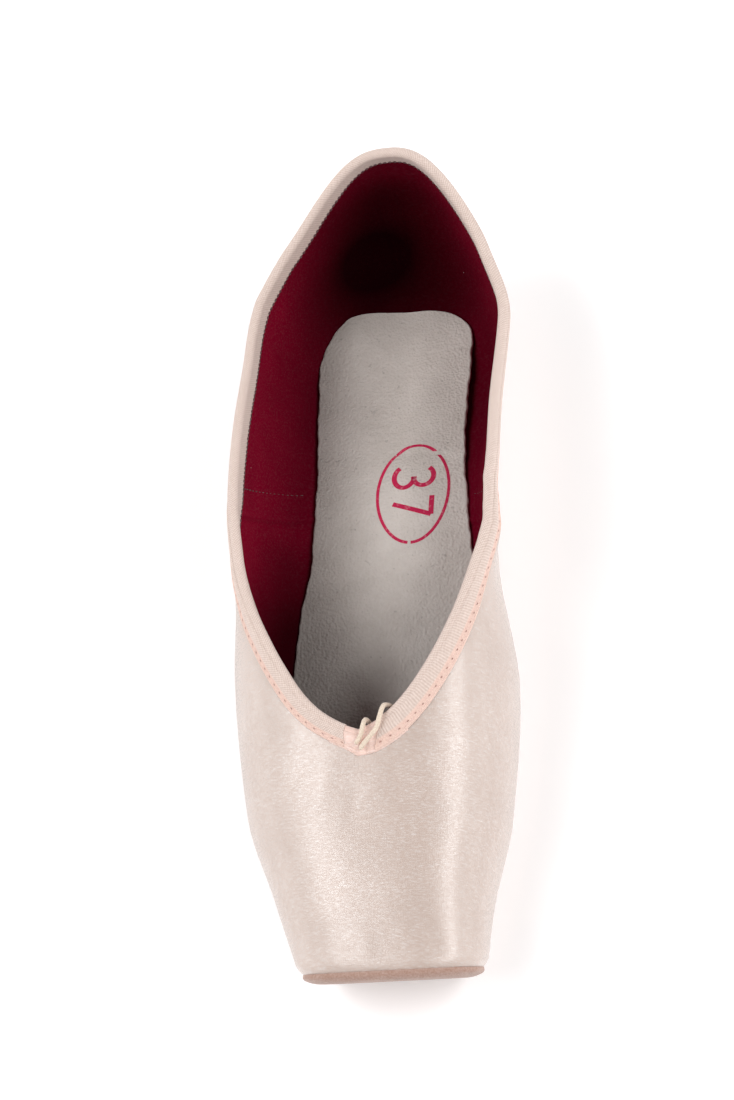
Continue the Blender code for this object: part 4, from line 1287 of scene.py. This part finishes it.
# The size mark: its middle on the insole, its strokes' width and its own middle, both against its height
MARK_PLACE = (5 * MM, 33 * MM)
MARK_STROKE = 0.13
MARK_MIDDLE = (0.78, 0.5)
# How far to the right of the three the seven stands
SEVEN_PLACE = [0.9, 0]


def ink_stroke(name, path, width, finish):
    """A flat stroke of ink along a path on the insole: a strip whose top is just over the leather."""
    ahead = np.gradient(path, axis=0)
    ahead /= np.linalg.norm(ahead, axis=-1, keepdims=True)
    side = np.stack([-ahead[:, 1], ahead[:, 0]], -1) * width / 2
    lines = []
    for share in (-1.0, -0.33, 0.33, 1.0):
        flat = path + share * side
        lines.append(np.column_stack([flat, insole_top(flat[:, 0], flat[:, 1]) + INK_OVER]))
    above = np.stack(lines, 1)
    below = above[:, ::-1] - [0, 0, 2 * INK_OVER]
    stroke = swept_mesh(name, np.concatenate([above, below], 1), finish)


def arc(centre, radii, start, end, count=40):
    """Points of an ellipse's arc from one angle to another, in degrees."""
    angle = np.radians(np.linspace(start, end, count))
    return np.stack([centre[0] + radii[0] * np.cos(angle), centre[1] + radii[1] * np.sin(angle)], -1)


def make_mark(colours, sizes):
    """A plain size number stamped on the insole inside an oval, reading from the heel towards the toe."""
    ink = ink_finish("crimson stamping ink", colours.ink)
    height = sizes.mark_height
    line = MARK_STROKE * height
    bar = np.stack([np.linspace(0.05, 0.62, 30), np.full(30, 1.0)], -1)
    leg = np.stack([np.linspace(0.62, 0.24, 40), np.linspace(1.0, 0.0, 40)], -1)
    three_top = arc((0.30, 0.74), (0.30, 0.26), 150, -90)
    three_low = arc((0.30, 0.24), (0.34, 0.26), 90, -150)
    oval = arc(MARK_MIDDLE, (1.5, 0.92), 0, 355, 120)
    strokes = {"upper_bow": three_top, "lower_bow": three_low, "bar": bar + SEVEN_PLACE,
               "leg": leg + SEVEN_PLACE, "oval": oval}
    for name, path in strokes.items():
        ahead, across = ((path - MARK_MIDDLE) * height).T
        flat = np.stack([MARK_PLACE[0] + across, MARK_PLACE[1] - ahead], -1)
        ink_stroke("size_mark_" + name, flat, 0.6 * line if name == "oval" else line, ink)


SOLE_EDGE = 0.55 * MM
CHANNEL_INSET = 4.5 * MM
CHANNEL_DEPTH = 0.35 * MM


def make_outsole(colours):
    """The leather outsole as sections across: a flat top, rounded edges and a flat bottom with a channel a
    little inside its edge."""
    first, last = TIP + SOLE_TOE, BACK - SOLE_HEEL
    y = first + (last - first) * (1 - np.cos(pi * np.linspace(0.02, 0.98, 150))) / 2
    half = sole_half_width(y)
    half_top = (half - SOLE_EDGE)[:, None]
    across = np.sin(np.linspace(-pi / 2, pi / 2, 60))
    x = middle(y)[:, None] + half_top * across
    level = floor_height(y)[:, None] - CLEARANCE
    top = np.stack([x, y[:, None] + 0 * x, level + 0 * x], -1)
    inside_edge = half[:, None] - np.abs(x - middle(y)[:, None])
    channel = CHANNEL_DEPTH * bell(inside_edge - CHANNEL_INSET, 0.5 * MM)
    inset = smooth(0.0, 8 * MM, np.minimum(y - first, last - y))[:, None]
    bottom = np.stack([x[:, ::-1], y[:, None] + 0 * x,
                       level - SOLE_THICKNESS + channel[:, ::-1] * inset], -1)
    turn = np.linspace(pi / 2, -pi / 2, 8)[1:-1]
    middle_z = level - SOLE_THICKNESS / 2
    bulge = np.sign(np.sin(turn)) * np.abs(np.sin(turn)) ** 0.6
    half_way = half_top + SOLE_EDGE * np.cos(turn) ** 0.7
    sides = [np.stack([middle(y)[:, None] + side * half_way, y[:, None] + 0 * turn,
                       middle_z + SOLE_THICKNESS / 2 * bulge], -1) for side in (1, -1)]
    rings = np.concatenate([top, sides[0], bottom, sides[1][:, ::-1]], 1)
    finish = leather_finish("tan buffed sole leather", colours.sole, 0.7 * MM, roughness=0.62, fleck=0.2)
    outsole = swept_mesh("outsole_leather", rings, finish)
    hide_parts("outsole")


def make_patch(colours):
    """The suede patch on the tip: rings round its middle on the outer face out to the edge, then back inside,
    and stitches all round its rim."""
    around = np.linspace(0, 2 * pi, 180, endpoint=False)[:, None]
    slant = np.linspace(0.02, 1.1, 300) * np.ones_like(around)
    direction = np.stack([slant * np.cos(around), -np.ones_like(slant),
                          PATCH_FLATTENING * slant * np.sin(around)], -1)
    centre = np.array([middle(TIP), TIP + PATCH_DEPTH, INSTEP_HEIGHT * SECTIONS[0].belly])
    lines = leaving_points(centre, direction)
    behind = ((lines[..., 1] - TIP) * cos(PLATFORM_TILT)
              + (lines[..., 2] - PLATFORM_LEVEL) * sin(PLATFORM_TILT) - PATCH_WRAP)
    past = np.where(behind > 0, np.arange(lines.shape[1]), lines.shape[1] - 1).min(1)
    end = crossing(behind, past, past - 1)
    shares = np.linspace(0.03, 1, 40)
    points = read(lines, end[:, None] * shares)
    out = normals(points)
    rounding = np.sqrt(np.clip(1 - smooth(0.94, 1.0, shares) ** 2, 0, 1))[None, :, None]
    outer = points + (0.15 * MM + 0.95 * MM * rounding) * out
    inner = points + 0.10 * MM * out
    rings = np.concatenate([np.moveaxis(outer, 1, 0), np.moveaxis(inner, 1, 0)[::-1]], 0)
    patch = swept_mesh("suede_patch", rings, suede_finish("beige pig suede", colours.suede))
    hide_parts("platform_patch")
    rim = points[:, -2] + 0.55 * MM * out[:, -2]
    thread = thread_finish("tan waxed thread", colours.waxed_thread)
    size = (0.8 * MM, 0.3 * MM, 0.26 * MM)
    stitched("patch_stitches", rim, 1.5 * MM, size, thread, closed=True)


# The camera, as measured from the photograph's own outline: angles in degrees, and the focal length in pixels
AZIMUTH = 24.147
ELEVATION = 57.400
ROLL = -25.187
DISTANCE = 943.36 * MM
TARGET = Vector((-5.888, 12.034, 20.0)) * MM
FOCAL_PIXELS = 3439.75
IMAGE_HEIGHT = 1100


def make_camera():
    """A camera at the photograph's angle to the shoe: round, over, and rolled about its own line of sight."""
    azimuth, elevation, roll = radians(AZIMUTH), radians(ELEVATION), radians(ROLL)
    back = Vector((cos(elevation) * sin(azimuth), -cos(elevation) * cos(azimuth), sin(elevation)))
    right = Vector((cos(azimuth), sin(azimuth), 0))
    up = back.cross(right)
    across = right * cos(roll) + up * sin(roll)
    upright = up * cos(roll) - right * sin(roll)
    data = bpy.data.cameras.new("camera")
    data.sensor_width = 36
    data.lens = FOCAL_PIXELS / IMAGE_HEIGHT * data.sensor_width
    data.clip_start, data.clip_end = 0.02, 20
    camera = bpy.data.objects.new("camera", data)
    bpy.context.scene.collection.objects.link(camera)
    turned = Matrix((across, upright, back)).transposed().to_4x4()
    camera.matrix_world = Matrix.Translation(TARGET + back * DISTANCE) @ turned
    bpy.context.scene.camera = camera


# The lamps: where each is, its width and length, how far its length turns from the shoe's, and its power
Lamp = namedtuple("Lamp", "name place size turn power")
LAMPS = [
    Lamp("softbox_left", (-0.66, -0.20, 1.28), (0.44, 1.3), -32, 10.0),
    Lamp("softbox_right", (0.93, -0.18, 1.16), (0.28, 1.3), 30, 8.2),
]
# How bright the surround is: everywhere, more towards both sides, and more behind the heel
WORLD_ALL, WORLD_SIDES, WORLD_HEEL = 0.03, 1.95, 0.20
FLOOR_GLOW = 0.22
FLOOR_REACH = 6.0


def make_stage(colours):
    """A pale floor, a white surround and long softboxes that lie along the shoe, one to each side."""
    reach = FLOOR_REACH
    mesh = bpy.data.meshes.new("floor")
    corners = [(-reach, -reach, 0), (reach, -reach, 0), (reach, reach, 0), (-reach, reach, 0)]
    mesh.from_pydata(corners, [], [(0, 1, 2, 3)])
    mesh.materials.append(table_finish("white acrylic table", colours.floor))
    floor = bpy.data.objects.new("floor", mesh)
    bpy.context.scene.collection.objects.link(floor)
    world = bpy.data.worlds.new("studio")
    world.use_nodes = True
    tree = world.node_tree
    across = add(tree, "SeparateXYZ", {0: add(tree, "TexCoord", output="Generated")})
    behind = add(tree, "Math", {0: across.node.outputs[1], 1: 0.0}, operation="MAXIMUM")
    aside = add(tree, "Math", {0: across, 1: across}, operation="MULTIPLY")
    heel = add(tree, "Math", {0: behind, 1: WORLD_HEEL, 2: WORLD_ALL}, operation="MULTIPLY_ADD")
    glow = add(tree, "Math", {0: aside, 1: WORLD_SIDES, 2: heel}, operation="MULTIPLY_ADD")
    background = tree.nodes["Background"]
    background.inputs["Color"].default_value = (1, 1, 1, 1)
    tree.links.new(glow, background.inputs["Strength"])
    bpy.context.scene.world = world
    for lamp in LAMPS:
        data = bpy.data.lights.new(lamp.name, "AREA")
        data.shape = "RECTANGLE"
        data.size, data.size_y = lamp.size
        data.energy = lamp.power
        light = bpy.data.objects.new(lamp.name, data)
        back = Vector(lamp.place).normalized()
        length = Vector((sin(radians(lamp.turn)), cos(radians(lamp.turn)), 0))
        across = length.cross(back).normalized()
        turned = Matrix((across, back.cross(across), back)).transposed().to_4x4()
        light.matrix_world = Matrix.Translation(lamp.place) @ turned
        bpy.context.scene.collection.objects.link(light)
    bpy.context.scene.view_settings.view_transform = "Standard"


class POINTESHOE_OT_stage(bpy.types.Operator):
    """Set the camera, the floor and the lights"""
    bl_idname = "pointe_shoe.stage"
    bl_label = "Stage"
    bl_options = {"REGISTER", "UNDO"}

    def execute(self, context):
        make_camera()
        make_stage(context.scene.pointe_shoe_colours)
        return {"FINISHED"}


class POINTESHOE_OT_drawstrings(bpy.types.Operator):
    """Make the two drawstring ends"""
    bl_idname = "pointe_shoe.drawstrings"
    bl_label = "Drawstrings"
    bl_options = {"REGISTER", "UNDO"}

    def execute(self, context):
        make_drawstrings(context.scene.pointe_shoe_colours, context.scene.pointe_shoe_sizes)
        return {"FINISHED"}


class POINTESHOE_OT_satin(bpy.types.Operator):
    """Make the satin upper"""
    bl_idname = "pointe_shoe.satin"
    bl_label = "Satin Upper"
    bl_options = {"REGISTER", "UNDO"}

    def execute(self, context):
        make_satin(context.scene.pointe_shoe_colours, context.scene.pointe_shoe_sizes)
        return {"FINISHED"}


class POINTESHOE_OT_lining(bpy.types.Operator):
    """Make the cotton lining and the stitches at its side seams"""
    bl_idname = "pointe_shoe.lining"
    bl_label = "Lining"
    bl_options = {"REGISTER", "UNDO"}

    def execute(self, context):
        make_lining(context.scene.pointe_shoe_colours, context.scene.pointe_shoe_sizes)
        return {"FINISHED"}


class POINTESHOE_OT_casing(bpy.types.Operator):
    """Make the drawstring's casing and its stitches"""
    bl_idname = "pointe_shoe.casing"
    bl_label = "Casing"
    bl_options = {"REGISTER", "UNDO"}

    def execute(self, context):
        make_casing(context.scene.pointe_shoe_colours, context.scene.pointe_shoe_sizes)
        return {"FINISHED"}


class POINTESHOE_OT_facing(bpy.types.Operator):
    """Make the satin piece at the throat"""
    bl_idname = "pointe_shoe.facing"
    bl_label = "Throat Facing"
    bl_options = {"REGISTER", "UNDO"}

    def execute(self, context):
        make_facing(context.scene.pointe_shoe_colours)
        return {"FINISHED"}


class POINTESHOE_OT_insole(bpy.types.Operator):
    """Make the insole and its size mark"""
    bl_idname = "pointe_shoe.insole"
    bl_label = "Insole"
    bl_options = {"REGISTER", "UNDO"}

    def execute(self, context):
        make_insole(context.scene.pointe_shoe_colours)
        make_mark(context.scene.pointe_shoe_colours, context.scene.pointe_shoe_sizes)
        return {"FINISHED"}


class POINTESHOE_OT_outsole(bpy.types.Operator):
    """Make the leather outsole"""
    bl_idname = "pointe_shoe.outsole"
    bl_label = "Outsole"
    bl_options = {"REGISTER", "UNDO"}

    def execute(self, context):
        make_outsole(context.scene.pointe_shoe_colours)
        return {"FINISHED"}


class POINTESHOE_OT_patch(bpy.types.Operator):
    """Make the suede patch on the platform and its stitches"""
    bl_idname = "pointe_shoe.patch"
    bl_label = "Platform Patch"
    bl_options = {"REGISTER", "UNDO"}

    def execute(self, context):
        make_patch(context.scene.pointe_shoe_colours)
        return {"FINISHED"}


OPERATORS = [
    POINTESHOE_OT_stage,
    POINTESHOE_OT_drawstrings,
    POINTESHOE_OT_satin,
    POINTESHOE_OT_lining,
    POINTESHOE_OT_casing,
    POINTESHOE_OT_facing,
    POINTESHOE_OT_insole,
    POINTESHOE_OT_outsole,
    POINTESHOE_OT_patch,
]


class POINTESHOE_PT_panel(bpy.types.Panel):
    """Lists the shoe's pieces and their settings"""
    bl_idname = "POINTESHOE_PT_panel"
    bl_label = "Pointe Shoe"
    bl_space_type = "VIEW_3D"
    bl_region_type = "UI"
    bl_category = "Pointe Shoe"

    def draw(self, context):
        for operator in OPERATORS:
            self.layout.operator(operator.bl_idname)
        for group in (context.scene.pointe_shoe_colours, context.scene.pointe_shoe_sizes):
            box = self.layout.box()
            for name in group.__annotations__:
                box.prop(group, name)


CLASSES = [PointeShoeColours, PointeShoeSizes, *OPERATORS, POINTESHOE_PT_panel]


def register():
    for each in CLASSES:
        bpy.utils.register_class(each)
    bpy.types.Scene.pointe_shoe_colours = bpy.props.PointerProperty(type=PointeShoeColours)
    bpy.types.Scene.pointe_shoe_sizes = bpy.props.PointerProperty(type=PointeShoeSizes)


def unregister():
    del bpy.types.Scene.pointe_shoe_sizes
    del bpy.types.Scene.pointe_shoe_colours
    for each in reversed(CLASSES):
        bpy.utils.unregister_class(each)


def main():
    register()
    bpy.ops.pointe_shoe.stage()
    bpy.ops.pointe_shoe.drawstrings()
    bpy.ops.pointe_shoe.satin()
    bpy.ops.pointe_shoe.lining()
    bpy.ops.pointe_shoe.casing()
    bpy.ops.pointe_shoe.facing()
    bpy.ops.pointe_shoe.insole()
    bpy.ops.pointe_shoe.outsole()
    bpy.ops.pointe_shoe.patch()


if __name__ == "__main__":
    main()
